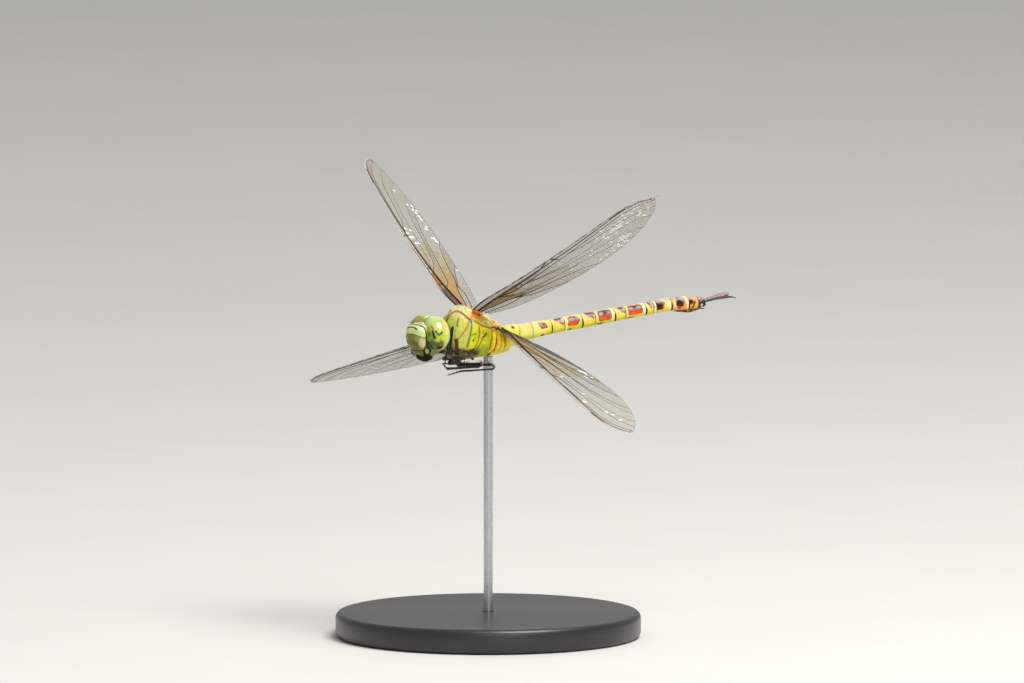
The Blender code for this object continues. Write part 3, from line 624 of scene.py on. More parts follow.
def abdomen_colours(points):
    p, f, _, u = on_left(points)
    high, low = u.max(1, keepdims=True), u.min(1, keepdims=True)
    height = (u - (high + low) / 2) / np.maximum((high - low) / 2, 0.05)
    along = f.mean(axis=1, keepdims=True) + 0 * f
    number, share = segment_share(along)
    colours = painted(
        p, (0.70, 0.62, 0.03),
        (rise(along, -15.5, -14.5) * rise(along, -6.0, -8.5) * 0.7, (0.80, 0.74, 0.24)),
        (rise(height, 0.2, 0.8) * 0.6, (0.66, 0.50, 0.22)),
        (rise(height, 0.05, 0.5) * rise(along, -19, -24) * 0.55, (0.62, 0.33, 0.17)),
        (rise(height, -0.2, -0.9) * rise(along, -38, -28) * 0.6, (0.50, 0.50, 0.008)),
        (rise(along, -14, -20) * rise(height, -0.5, 0.3) * 0.5, (0.80, 0.66, 0.26)),
        (rise(along, -6.4, -5.4) * rise(height, 0.6, 0.1), (0.86, 0.80, 0.06)),
        (rise(along, -44, -46) * 0.8, (0.84, 0.32, 0.05)),
        # painted sheen: a pinkish highlight along the bottom edge of the rear abdomen
        (rise(height, -0.70, -0.9) * rise(along, -25, -35) * 0.6, (0.72, 0.52, 0.46)),
        *patch_layers(p, height, number, share), *ring_layers(p, height, along))
    for segment, place, long in LOW_MARKS:
        gap = np.hypot((share + 0.05 * height - place) / long, (height + 0.78 + 0.04 * wavy(p, 0.3)) / 0.13)
        colours = blend(colours, (number == segment) * rise(gap, 1.3, 0.8), (0.10, 0.025, 0.014))
    end = rise(along, -52.2, -52.4)
    return painted(
        p, colours,
        (spot(p, (-6.1, 1.25, -1.2), (0.42, 0.5, 0.32), 0.3), (0.16, 0.02, 0.035)),
        (rise(np.abs(f + 0.2 * u + 4.6), 0.12, 0.05) * rise(along, -5.6, -5.2), (0.25, 0.32, 0.03)),
        (end, (0.30, 0.21, 0.23)),
        (end * rise(wavy(p, 0.25), 0.1, 0.5) * 0.8, (0.52, 0.42, 0.44)),
        (end * rise(height + 0.35 * wavy(p, 0.3), 0.45, 0.25), (0.02, 0.014, 0.016)),
        (spot(p, (-53.0, 0.95, 0.0), (0.30, 0.5, 0.30), 0.35), (0.66, 0.56, 0.54)))


def abdomen_relief(points):
    """A lip and a groove at each joint, and a low ridge round the middle of a segment."""
    along = points[..., 0].mean(axis=1, keepdims=True) + 0 * points[..., 0]
    return (sum(0.05 * bell(along - joint - 0.35, 0.3) - 0.10 * bell(along - joint, 0.12)
                for joint in ABDOMEN_JOINTS[1:-1])
            + sum(0.035 * bell(along - ridge, 0.09) for ridge in ABDOMEN_RIDGES))


def build_body(material):
    skin = Shell()
    thorax = build_thorax(skin)
    collar = capped(ring_grid(read(COLLAR, np.linspace(0, 4, 40)), 90), 0.12)
    skin.add_grid(collar, painted(collar, (0.475, 0.49, 0.25),
                                  (rise(wavy(collar, 0.4), 0, 0.5) * 0.6, (0.22, 0.14, 0.06))))
    skin.add_grid(tube_grid(((10.4, 0, -1.6), (11.9, 0, -1.6)), 0.9, 24), (0.16, 0.12, 0.07))
    places = np.concatenate((np.linspace(4.6, 8.5, 60), np.linspace(8.58, 53.9, 520)))
    grid = capped(ring_grid(read(abdomen_sections(), places), 144, top_power=2.4, low_power=2.3), 0.25)
    skin.add_grid(pressed(grid, abdomen_relief(grid)), abdomen_colours(grid))
    for _, side in SIDES:
        for centre, reach, colour in WING_KNOBS:
            place = np.array(centre) * (1, side, 1)
            knob = ellipsoid_grid(place, reach, rows=14, sides=20)
            knob = knob + 0.10 * (knob - place) * wavy(knob, 0.13)[..., None] + 0.07 * wavy(knob, 0.22)[..., None]
            skin.add_grid(knob, painted(knob, colour, (rise(wavy(knob, 0.17), 0.0, 0.5) * 0.6, (0.30, 0.05, 0.008))))
    nodes = ["thorax", "prothorax", "neck"] + [f"abdomen_{number:02d}" for number in range(1, 11)]
    skin.build("body_skin", "thorax_cuticle", [material], nodes)
    return thorax


# ---------------------------------------------------------------- head

# number in order, then top forward, top up, bottom forward, bottom up, half width
HEAD_SECTIONS = (
    (0, 11.6, 0.5, 11.9, -4.4, 2.6), (1, 12.0, 1.1, 12.4, -5.2, 3.3), (2, 13.4, 1.3, 13.6, -5.7, 3.4),
    (3, 14.6, 1.1, 14.7, -5.6, 3.0), (4, 15.5, 1.1, 15.5, -5.1, 2.4), (5, 16.2, 0.8, 16.0, -4.4, 1.6),
)
# swellings of the head's top: centre, reach, colour; the middle three are the simple eyes
HEAD_LUMPS = (
    ((15.5, 0.0, 0.75), (0.45, 0.70, 0.40), (0.50, 0.50, 0.22)),
    ((15.75, 0.0, 0.98), (0.16, 0.18, 0.15), (0.60, 0.58, 0.40)),
    ((15.45, 0.52, 0.98), (0.15, 0.15, 0.15), (0.60, 0.58, 0.40)),
    ((15.45, -0.52, 0.98), (0.15, 0.15, 0.15), (0.60, 0.58, 0.40)),
    ((12.4, 0.0, 1.75), (0.55, 0.60, 0.40), (0.66, 0.30, 0.08)),
)
# depth, back, front, half width
FACE_LEVELS = (
    (-0.95, 15.7, 16.6, 1.2), (-0.83, 15.4, 17.05, 1.85), (-0.5, 15.3, 17.45, 2.35), (0.0, 15.2, 17.7, 2.6),
    (0.9, 15.2, 17.85, 2.72), (1.8, 15.2, 18.0, 2.78), (3.0, 15.2, 17.7, 2.68), (3.8, 15.2, 17.2, 2.42),
    (4.35, 15.3, 16.85, 2.08), (4.9, 15.4, 16.6, 1.85), (5.5, 15.4, 16.1, 1.4),
)
LOWER_LIP_LEVELS = ((0, 13.0, 16.3, 1.75), (0.4, 13.0, 16.2, 1.65), (0.8, 13.2, 15.9, 1.35), (1.1, 13.6, 15.4, 0.9),
                    (1.25, 14.0, 15.0, 0.5))
LOWER_LIP_HEIGHT = -5.35
# half width, colour and places of a line: bar of the T, brow, face's margin, face's seam, lip, labrum's middle
FACE_LINES = (
    (0.13, BLACK, ((17.55, 0.0, 0.28), (17.55, 0.75, 0.24), (17.45, 1.5, 0.0))),
    (0.15, BLACK, ((17.05, 0.0, 0.85), (16.95, 0.8, 0.82), (16.8, 1.8, 0.65), (16.5, 2.4, 0.3))),
    (0.15, BLACK, ((16.5, 2.4, 0.3), (16.25, 2.65, -0.7), (16.2, 2.7, -2.1), (16.2, 2.6, -3.0), (16.4, 2.4, -3.7),
                   (16.2, 1.9, -4.4))),
    (0.08, (0.12, 0.04, 0.01), ((17.8, 0.0, -1.05), (17.7, 1.3, -1.1), (17.4, 2.2, -1.4), (16.8, 2.65, -1.7))),
    (0.10, (0.03, 0.03, 0.005), ((17.0, 0.0, -4.30), (16.9, 1.0, -4.28), (16.6, 2.0, -4.1))),
    (0.05, (0.10, 0.07, 0.02), ((17.6, 0, -3.3), (17.5, 0, -4.0))),
)
FACE_DENT = ((17.9, 1.3, -1.6), (17.6, 1.6, -3.6))
CHEEK_LINE = ((16.2, 2.4, -2.6), (15.6, 2.2, -3.3), (15.0, 2.4, -4.1), (15.1, 2.3, -5.6))
EYE_CENTRE = (13.5, 2.45, -0.85)
EYE_REACH = (2.6, 2.65, 3.55)
EYE_LEAN = math.radians(31)
EYE_PITCH = math.radians(8)
# the domes are squashed from this far off the middle plane, and come no nearer to it than the gap
SQUASH_START, SQUASH_GAP = 0.30, 0.04
# dark spots on the left eye: half width, colour, line
EYE_SPOTS = (
    (0.15, (0.004, 0.006, 0.002), ((15.6, 3.95, -0.3), (15.55, 4.25, -0.9), (15.45, 4.45, -1.5))),
    (0.09, (0.03, 0.05, 0.003), ((15.15, 4.45, -0.25), (14.95, 4.75, -0.7), (14.8, 4.9, -0.95))),
    (0.12, (0.02, 0.03, 0.003), ((14.8, 4.9, -0.95), (14.45, 5.05, -0.75), (14.2, 5.1, -0.55))),
    (0.17, (0.09, 0.12, 0.005), ((15.95, 3.4, -0.65), (15.95, 3.4, -0.9), (15.95, 3.4, -1.15))),
    (0.24, (0.04, 0.06, 0.003), ((15.65, 3.8, -2.5), (15.6, 3.9, -2.6), (15.55, 3.95, -2.75))),
    (0.15, (0.03, 0.05, 0.003), ((15.1, 4.45, -2.65), (15.1, 4.5, -2.8), (15.05, 4.5, -3.05))),
    (0.14, (0.07, 0.10, 0.004), ((14.4, 5.05, -2.4), (14.35, 5.1, -2.5), (14.3, 5.1, -2.65))),
    (0.11, (0.20, 0.25, 0.02), ((15.85, 3.05, 0.3), (15.8, 3.1, 0.1), (15.85, 3.1, -0.1))),
    (0.10, (0.16, 0.22, 0.02), ((15.4, 3.4, 0.65), (15.4, 3.7, 0.35), (15.4, 3.95, 0.1))),
)


def face_colours(points):
    """Pale frons above, darker clypeus and labrum below, and their lines laid on the skin."""
    p, _, l, u = on_left(points)
    clypeus = rise(u + 0.07 * l * l, -0.97, -1.07)
    colours = painted(
        p, (0.62, 0.74, 0.27),
        # painted highlight: the frons paler towards its outer side
        (rise(l + 0.4 * u, 0.6, 1.8), (0.62, 0.74, 0.40)),
        (rise(u, 0.05, 0.45) * 0.7, (0.58, 0.64, 0.36)),
        (spot(p, (17.0, 2.5, -0.95), (0.6, 0.5, 0.5), 0.6) * 0.8, (0.60, 0.62, 0.10)),
        (clypeus, (0.20, 0.23, 0.035)),
        (clypeus * rise(wavy(p, 0.6), 0.0, 0.6) * 0.6, (0.22, 0.20, 0.03)),
        (clypeus * spot(p, (17.5, 0.6, -3.2), (1.2, 1.3, 1.1), 0.6) * 0.9, (0.11, 0.095, 0.006)),
        (clypeus * spot(p, (17.6, 1.7, -1.9), (0.6, 0.55, 0.5), 0.5) * 0.8, (0.22, 0.40, 0.12)),
        (clypeus * spot(p, (16.95, 2.5, -2.7), (0.9, 0.65, 1.2), 0.4), (0.56, 0.50, 0.26)),
        (spot(p, (17.8, 0.75, -2.7), (0.4, 0.28, 0.24), 0.5) * 0.8, (0.10, 0.06, 0.01)),
        (rise(u, -4.22, -4.32), (0.12, 0.13, 0.012)),
        (rise(u + 0.10 * l * l, -5.0, -5.2), BLACK))
    for half, colour, line in FACE_LINES:
        far = away(p, laid(line, points)) + 0.03 * wavy(p, 0.2)
        colours = blend(colours, rise(far, half + 0.06, half - 0.04), colour)
    return blend(colours, spot(p, (16.9, 0.6, 0.85), (0.35, 0.26, 0.4)), BLACK)


def face_relief(points):
    p, f, l, u = on_left(points)
    return (-0.12 * bell(u + 0.07 * l ** 2 + 1.03, 0.12) - 0.14 * bell(u + 4.26, 0.11)
            + 0.10 * bell(u + 0.1, 0.35) * rise(f, 16.8, 17.4) - 0.08 * bell(away(p, FACE_DENT), 0.3)
            + 0.012 * wavy(p, 0.3))


def head_colours(points):
    p, f, _, u = on_left(points)
    return painted(
        p, (0.40, 0.42, 0.12),
        (rise(u, 0.2, 0.8) * rise(f, 14.2, 14.9), (0.58, 0.50, 0.22)),
        (rise(u, -2.8, -3.6), (0.17, 0.27, 0.07)),
        (rise(u, -3.4, -4.4) * rise(f, 14.0, 13.2), (0.24, 0.15, 0.06)),
        (rise(away(p, CHEEK_LINE), 0.33, 0.19), BLACK),
        (rise(f, 12.4, 12.0) * 0.8, (0.10, 0.09, 0.05)))


def eye_colours(points):
    p, f, l, u = on_left(points)
    front = rise(f - 0.10 * u + 0.12 * l, 15.9, 16.35)
    colours = painted(
        p, (0.40, 0.48, 0.12),
        # painted reflection: a pale cyan patch of sky on the eye's top
        (spot(p, (14.8, 2.1, 1.9), (1.2, 1.4, 0.9), 0.6) * 0.8, (0.42, 0.60, 0.26)),
        (rise(u, 1.7, 0.5), (0.46, 0.50, 0.07)),
        # painted reflection: a beige halo round the eye's highlight
        (spot(p, (15.2, 4.3, 0.7), (0.9, 0.9, 0.9), 0.6) * 0.7, (0.62, 0.56, 0.26)),
        (rise(u, -0.3, -1.3), (0.46, 0.56, 0.003)),
        (rise(u, -0.9, -2.2) * rise(f, 13.9, 13.0), (0.60, 0.64, 0.03)),
        (front * rise(u, 1.1, 0.3) * 0.85, (0.34, 0.46, 0.02)),
        (front * rise(u, -0.1, -0.9) * 0.9, (0.22, 0.29, 0.008)),
        (rise(u + 0.25 * wavy(p, 0.5), -1.9, -2.6) * rise(f, 13.2, 14.2) * 0.97, (0.014, 0.020, 0.001)),
        (rise(wavy(p, 0.30), 0.1, 0.45) * rise(u, -0.5, -1.5) * rise(f, 13.6, 14.6) * 0.7, (0.20, 0.26, 0.008)),
        (rise(f + 0.1 * u, 13.6, 12.6), (0.60, 0.62, 0.20)))
    for half, colour, line in EYE_SPOTS:
        far = away(p, line) + 0.08 * wavy(p, 0.22) + 0.03 * wavy(p, 0.09)
        colours = blend(colours, rise(far, half + 0.45, half) * 0.35, (0.14, 0.24, 0.003))
        colours = blend(colours, rise(far, half + 0.16, half - 0.01), colour)
    # painted shade: the far eye's top darker than the near eye's
    far_eye_shaded = points[..., 1] < 0
    colours = blend(colours, far_eye_shaded * rise(u, 0.0, 0.8) * rise(f, 13.8, 14.8) * 0.9, (0.27, 0.24, 0.03))
    return blend(colours, rise(l, 0.26, 0.06), (0.16, 0.19, 0.15))


def build_eyes(material):
    """Two leaning domes, squashed where they meet in the middle of the head."""
    for label, side in SIDES:
        turn = Matrix.Rotation(-EYE_PITCH, 4, "X") @ Matrix.Rotation(-side * EYE_LEAN, 4, "Y")
        grid = ellipsoid_grid(np.array(EYE_CENTRE) * (1, side, 1), EYE_REACH, turn, 120, 200)
        inward = grid[..., 1] * side
        room = SQUASH_START - SQUASH_GAP
        kept = np.where(inward < SQUASH_START, SQUASH_GAP + room * np.exp((inward - SQUASH_START) / room), inward)
        grid[..., 1] = kept * side
        grid[..., 2] += 0.36 * bell(kept, 1.1) * rise(grid[..., 2], 0.0, 1.4)
        eye = Shell()
        eye.add_grid(grid, eye_colours(grid))
        eye.build("eye_dome_" + label, "eye", [material], ["eye_" + label])


def build_head(skin_material, face_material, mouth_material, hard_material):
    head = Shell()
    grid = capped(ring_grid(read(HEAD_SECTIONS, np.linspace(0, 5, 70)), 160, widest=0.55), 0.2)
    head.add_grid(grid, head_colours(grid))
    for centre, reach, colour in HEAD_LUMPS:
        head.add_grid(ellipsoid_grid(centre, reach, rows=16, sides=24), colour)
    head.build("head_capsule", "head_cuticle", [skin_material], ["head"])

    face = Shell()
    grid = capped(level_grid(FACE_LEVELS, 130, 180, boxy=2 / 2.2), 0.12)
    face.add_grid(pressed(grid, face_relief(grid)), face_colours(grid))
    face.build("face_plates", "face_cuticle", [face_material], ["frons", "clypeus", "labrum"])

    mouth = Shell()
    grid = capped(level_grid(LOWER_LIP_LEVELS, 24, 64, height=LOWER_LIP_HEIGHT), 0.1)
    mouth.add_grid(grid, (0.014, 0.013, 0.010))
    for _, side in SIDES:
        grid = ellipsoid_grid((15.55, side * 2.0, -4.6), (0.75, 0.50, 0.95), rows=36, sides=48)
        pale = spot(on_left(grid)[0], (15.7, 2.45, -4.3), (0.46, 0.5, 0.5))
        mouth.add_grid(grid, painted(grid, (0.010, 0.010, 0.010), (pale, (0.34, 0.40, 0.07))))
    mouth.build("mouthparts", "mouthparts", [mouth_material], ["labium", "mandible_left", "mandible_right"])

    for label, side in SIDES:
        feeler = Shell()
        route = resample([(16.0, side * 1.15, 0.6), (16.2, side * 1.2, 0.95), (16.8, side * 1.45, 1.2),
                          (17.6, side * 1.8, 1.15)], 24)
        thick = np.interp(np.arange(24), (0, 3, 5, 8, 23), (0.20, 0.17, 0.09, 0.045, 0.02))
        feeler.add_grid(tube_grid(route, thick), BLACK)
        feeler.build("feeler_" + label, "leg_cuticle", [hard_material], ["antenna_" + label])


# ---------------------------------------------------------------- legs and tail

# hip, start and end of the thigh, start and end of the shin, claws, all as if on the left
FORE_JOINTS = ((9.2, 1.2, -5.0), (10.0, 2.1, -5.2), (9.9, 3.0, 0.0), (10.6, 3.6, 0.0), (11.45, 3.15, -4.6))
LEGS = {
    "fore_left": (*FORE_JOINTS, (11.75, 2.9, -6.9)),
    "fore_right": (*FORE_JOINTS, (11.75, 2.9, -6.0)),
    "mid_left": ((7.4, 1.2, -6.0), (9.4, 2.5, -6.8), (3.3, 3.3, -7.1), (3.3, 3.35, -7.95), (9.6, 3.4, -7.95),
                 (11.3, 3.4, -7.8)),
    "mid_right": ((7.1, 1.2, -6.0), (8.0, 2.5, -6.8), (0.6, 3.3, -7.1), (0.6, 3.35, -7.95), (6.0, 3.3, -7.95),
                  (7.4, 3.2, -7.8)),
    "hind_left": ((5.4, 0.9, -6.1), (7.6, 1.5, -7.6), (-0.4, 2.25, -8.1), (-0.4, 2.3, -8.95), (7.3, 2.15, -8.85),
                  (10.2, 2.15, -9.35)),
    "hind_right": ((5.4, 0.9, -6.1), (7.4, 1.5, -7.6), (-0.4, 2.25, -8.1), (-0.4, 2.3, -8.95), (7.3, 2.15, -8.85),
                   (8.4, 2.05, -7.9)),
}
LEG_ROWS = 90
TOE_ROWS = 30


def between(start, end, share):
    return start * (1 - share) + end * share


def add_spines(leg, start, end, count, length, outward):
    """Two rows of fine bristles that lean towards the foot."""
    ahead = unit(end - start)
    for row in (-1, 1):
        lean = outward + row * 0.6 * np.cross(ahead, outward)
        lean = unit(lean - ahead * (lean @ ahead))
        for number in range(count):
            root = between(start, end, (number + 0.6 + 0.3 * row) / (count + 0.5))
            tip = root + (lean * 0.85 + ahead * 0.5) * length * (0.8 + 0.4 * math.sin(2.3 * number + row) ** 2)
            leg.add_grid(tube_grid((root, (root + tip) / 2, tip), (0.055, 0.035, 0.008), 4), BLACK)


def leg_colours(grid, pair):
    """Near black, with a brown base, a painted glint on the top of the knee, and the middle pair's thigh painted pale
    above as a highlight, with dark flecks.
    """
    row = np.arange(LEG_ROWS)[:, None]
    above = grid[..., 2] - grid[..., 2].mean(1, keepdims=True)
    upper = rise(above, -0.08, 0.10)
    layers = []
    if pair == "mid":
        on_thigh = rise(row, 12, 18) * rise(row, 50, 44) * rise(row, 21, 25)
        # painted highlight: the middle thigh pale on its upper side
        layers += [(rise(above, -0.27, -0.15) * on_thigh, (0.74, 0.62, 0.55)),
                   (rise(wavy(grid, 0.17), -0.1, 0.15) * rise(row, 37, 27), (0.03, 0.018, 0.02))]
    layers.append((rise(row, 14, 6) * 0.8, (0.055, 0.020, 0.024)))
    if pair == "fore":
        layers.append((rise(row, 26, 14) * (1 - 0.3 * upper), (0.035, 0.014, 0.015)))
    # painted highlight: a glint on the upper side of the knee
    layers.append((rise(np.abs(row - 50), 4, 1) * upper * 0.8, (0.55, 0.52, 0.50)))
    return painted(grid, (0.008, 0.007, 0.007), *layers)


def build_legs(material):
    for label, joints in LEGS.items():
        pair, side = label.split("_")[0], 1 if label.endswith("left") else -1
        hip, thigh, thigh_end, shin, shin_end, claw = (np.array(joint) * (1, side, 1) for joint in joints)
        leg = Shell()
        knee = (thigh_end + shin) / 2 + unit(thigh_end - thigh) * 0.35
        rows = resample([(*place, radius) for place, radius in (
            (hip, 0.75), (between(hip, thigh, 0.5), 0.66), (thigh, 0.50), (between(thigh, thigh_end, 0.15), 0.50),
            (between(thigh, thigh_end, 0.5), 0.44), (between(thigh, thigh_end, 0.92), 0.36), (thigh_end, 0.40),
            (knee, 0.33), (shin, 0.27), (between(shin, shin_end, 0.1), 0.24), (between(shin, shin_end, 0.5), 0.23),
            (between(shin, shin_end, 0.94), 0.24), (shin_end, 0.22))], LEG_ROWS)
        slim = np.interp(np.arange(LEG_ROWS), (12, 24, LEG_ROWS), (0.74, 0.50, 0.62)) if pair == "fore" else 0.74
        grid = tube_grid(rows[:, :3], rows[:, 3] * slim, 14)
        leg.add_grid(grid, leg_colours(grid, pair))
        toes = resample([(*shin_end, 0.19), (*between(shin_end, claw, 0.4), 0.15), (*claw, 0.12)], TOE_ROWS)
        knuckles = 1 + 0.22 * np.cos(np.linspace(0, 6 * math.pi, TOE_ROWS))
        leg.add_grid(tube_grid(toes[:, :3], toes[:, 3] * knuckles, 10), BLACK)
        ahead = unit(claw - shin_end)
        for hook in (-1, 1):
            across = np.cross(ahead, (0, 0, 1.0)) * hook
            curve = resample([claw, claw + ahead * 0.25 + across * 0.18,
                              claw + ahead * 0.42 + across * 0.22 + (0, 0, -0.16)], 8)
            leg.add_grid(tube_grid(curve, np.linspace(0.08, 0.015, 8), 6), BLACK)
        below = np.array((0, side * 0.5, -1.0))
        thigh_out, shin_out = (below, np.array((1.0, side * 0.4, 0))) if pair == "fore" else (-below, below)
        add_spines(leg, between(thigh, thigh_end, 0.2), thigh_end, 8, 0.30, thigh_out)
        add_spines(leg, shin, shin_end, 11, 0.45, shin_out)
        leg.build("leg_" + label + "_black", "leg_cuticle", [material], ["leg_" + label])


TAIL_ROLL = math.radians(28)
PLATE_ROOT, PLATE_TIP = (-53.6, 0.5, 0.58), (-61.2, 1.25, 0)
PLATE_HALF_WIDTH = 0.85
# outline: share of the length, share of the half width
PLATE_STALK = ((0, 0.20), (0.08, 0.22), (0.2, 0.42), (0.4, 0.80))
# height of the tip, how far it bows up, rest of the outline
TAIL_PLATES = {
    "left": (0.99, 0.36, ((0.6, 0.9), (0.78, 0.66), (0.88, 0.20), (1, 0.05))),
    "right": (1.75, 0.0, ((0.6, 1.0), (0.82, 1.0), (0.95, 0.78), (1, 0.30))),
}
# place along the body, depth of the top and of the bottom below the abdomen's middle, half width
SHEATH_SECTIONS = ((-46.2, 1.00, 1.26, 0.35), (-47.6, 1.00, 1.54, 0.66), (-50.2, 0.90, 1.86, 0.80),
                   (-52.2, 0.80, 1.58, 0.62), (-53.4, 0.80, 1.10, 0.30))


def build_plate(label, side, material):
    """One leaf-shaped tail plate with a rib; the left one is dark, bowed and thin at its tip."""
    tip_up, bow, leaf = TAIL_PLATES[label]
    root, tip = np.array(PLATE_ROOT) * (1, side, 1), np.array(PLATE_TIP) * (1, side, 1) + (0, 0, tip_up)
    across = np.array((0, side * math.cos(TAIL_ROLL), math.sin(TAIL_ROLL)))
    normal = np.array((0, -side * math.sin(TAIL_ROLL), math.cos(TAIL_ROLL)))
    share, turn = np.linspace(0, 1, 60)[:, None], turns(28)
    spread = read(PLATE_STALK + leaf, share[:, 0])
    wide = PLATE_HALF_WIDTH * spread * np.cos(turn)
    deep = (0.10 + 0.16 * bell(np.cos(turn), 0.22) * rise(share, 1.0, 0.7)) * np.sin(turn)
    sag = -0.10 * (wide / PLATE_HALF_WIDTH) ** 2
    grid = ((root + (tip - root) * share)[:, None] + wide[..., None] * across + (deep + sag)[..., None] * normal)
    if bow:
        grid[..., 2] += bow * np.sin(math.pi * share ** 1.3) - 0.10 * rise(share, 0.9, 1.0)
    colours = painted(
        grid, (0.42, 0.31, 0.30),
        (rise(np.abs(np.cos(turn)), 0.8, 0.97), (0.03, 0.022, 0.02)),
        (rise(wavy(grid, 0.22), 0.1, 0.5) * 0.6, (0.10, 0.07, 0.065)),
        (bell(np.cos(turn), 0.12) * rise(share, 1.0, 0.8) * 0.8, (0.07, 0.05, 0.045)),
        (rise(np.cos(turn), -0.55, -0.75), (0.012, 0.009, 0.010)),
        (rise(np.cos(turn), 0.7, 0.95) * 0.7, (0.50, 0.38, 0.37)))
    if label == "left":
        colours = blend(colours, np.array(0.95), (0.012, 0.010, 0.010))
    plate = Shell()
    plate.add_grid(grid, colours)
    plate.build("tail_plate_" + label, "tail_plate", [material], ["cercus_" + label])


def build_tail(plate_material, dark_material):
    for label, side in SIDES:
        build_plate(label, side, plate_material)
    sheath = Shell()
    middle = float(abdomen_middle(-49.5))
    rows = [(number, along, middle - top, along, middle - low, wide)
            for number, (along, top, low, wide) in enumerate(SHEATH_SECTIONS)]
    grid = capped(ring_grid(read(rows, np.linspace(0, 4, 60)), 48), 0.15)
    sheath.add_grid(grid, painted(grid, (0.34, 0.12, 0.03),
                                  (rise(wavy(grid, 0.4), -0.2, 0.3), (0.03, 0.015, 0.012)),
                                  (rise(grid[..., 2], middle - 1.56, middle - 1.70), (0.02, 0.012, 0.010))))
    for _, side in SIDES:
        curve = resample([(-53.0, side * 0.25, middle - 1.2), (-53.8, side * 0.3, middle - 1.35),
                          (-54.2, side * 0.3, middle - 1.3)], 10)
        sheath.add_grid(tube_grid(curve, np.linspace(0.12, 0.05, 10)), BLACK)
    end = float(abdomen_middle(-53.9))
    for centre, reach, dark, pale in (
            ((-53.9, 0.0, end - 0.35), (0.65, 0.74, 0.66), (0.015, 0.012, 0.014), (0.62, 0.50, 0.48)),
            ((-54.1, 0.0, end + 0.25), (0.50, 0.62, 0.34), (0.30, 0.22, 0.21), (0.62, 0.48, 0.44))):
        lump = ellipsoid_grid(centre, reach)
        sheath.add_grid(lump, painted(lump, dark, (rise(wavy(lump, 0.16), 0.1, 0.5), pale)))
    sheath.build("egg_sheath", "mouthparts", [dark_material], ["ovipositor"])


# ---------------------------------------------------------------- wings

# share of the span, and how far the edge lies ahead of the hinge as a share of the length
FORE_FRONT = ((0, 0.035), (0.1, 0.056), (0.3, 0.056), (0.48, 0.055), (0.7, 0.045), (0.88, 0.028), (0.96, -0.003),
              (1, -0.048))
FORE_BACK = ((0, -0.05), (0.1, -0.098), (0.3, -0.14), (0.6, -0.17), (0.8, -0.155), (0.94, -0.11), (1, -0.062))
HIND_FRONT = ((0, 0.02), (0.1, 0.04), (0.41, 0.055), (0.7, 0.045), (0.88, 0.024), (0.96, -0.01), (1, -0.053))
HIND_BACK = ((0, -0.12), (0.08, -0.2), (0.25, -0.225), (0.55, -0.21), (0.75, -0.18), (0.92, -0.12), (1, -0.067))
# length, edges, hinge, then (mean, left extra) of lift, sweep, twist, gain in degrees, and bend
WINGS = {
    "fore": (50.0, FORE_FRONT, FORE_BACK, (2.75, 2.13, 2.55),
             (26.7, -0.7), (-6.8, -1.7), (10.1, 1.5), (5.9, -7.4), (0.0946, 0.0043)),
    "hind": (48.5, HIND_FRONT, HIND_BACK, (-2.54, 1.91, -1.01),
             (-18.2, 0.8), (9.8, -4.4), (16.2, 2.7), (-16.2, -8.4), (-0.0134, -0.0312)),
}
BODY_PITCH = math.radians(3.9)

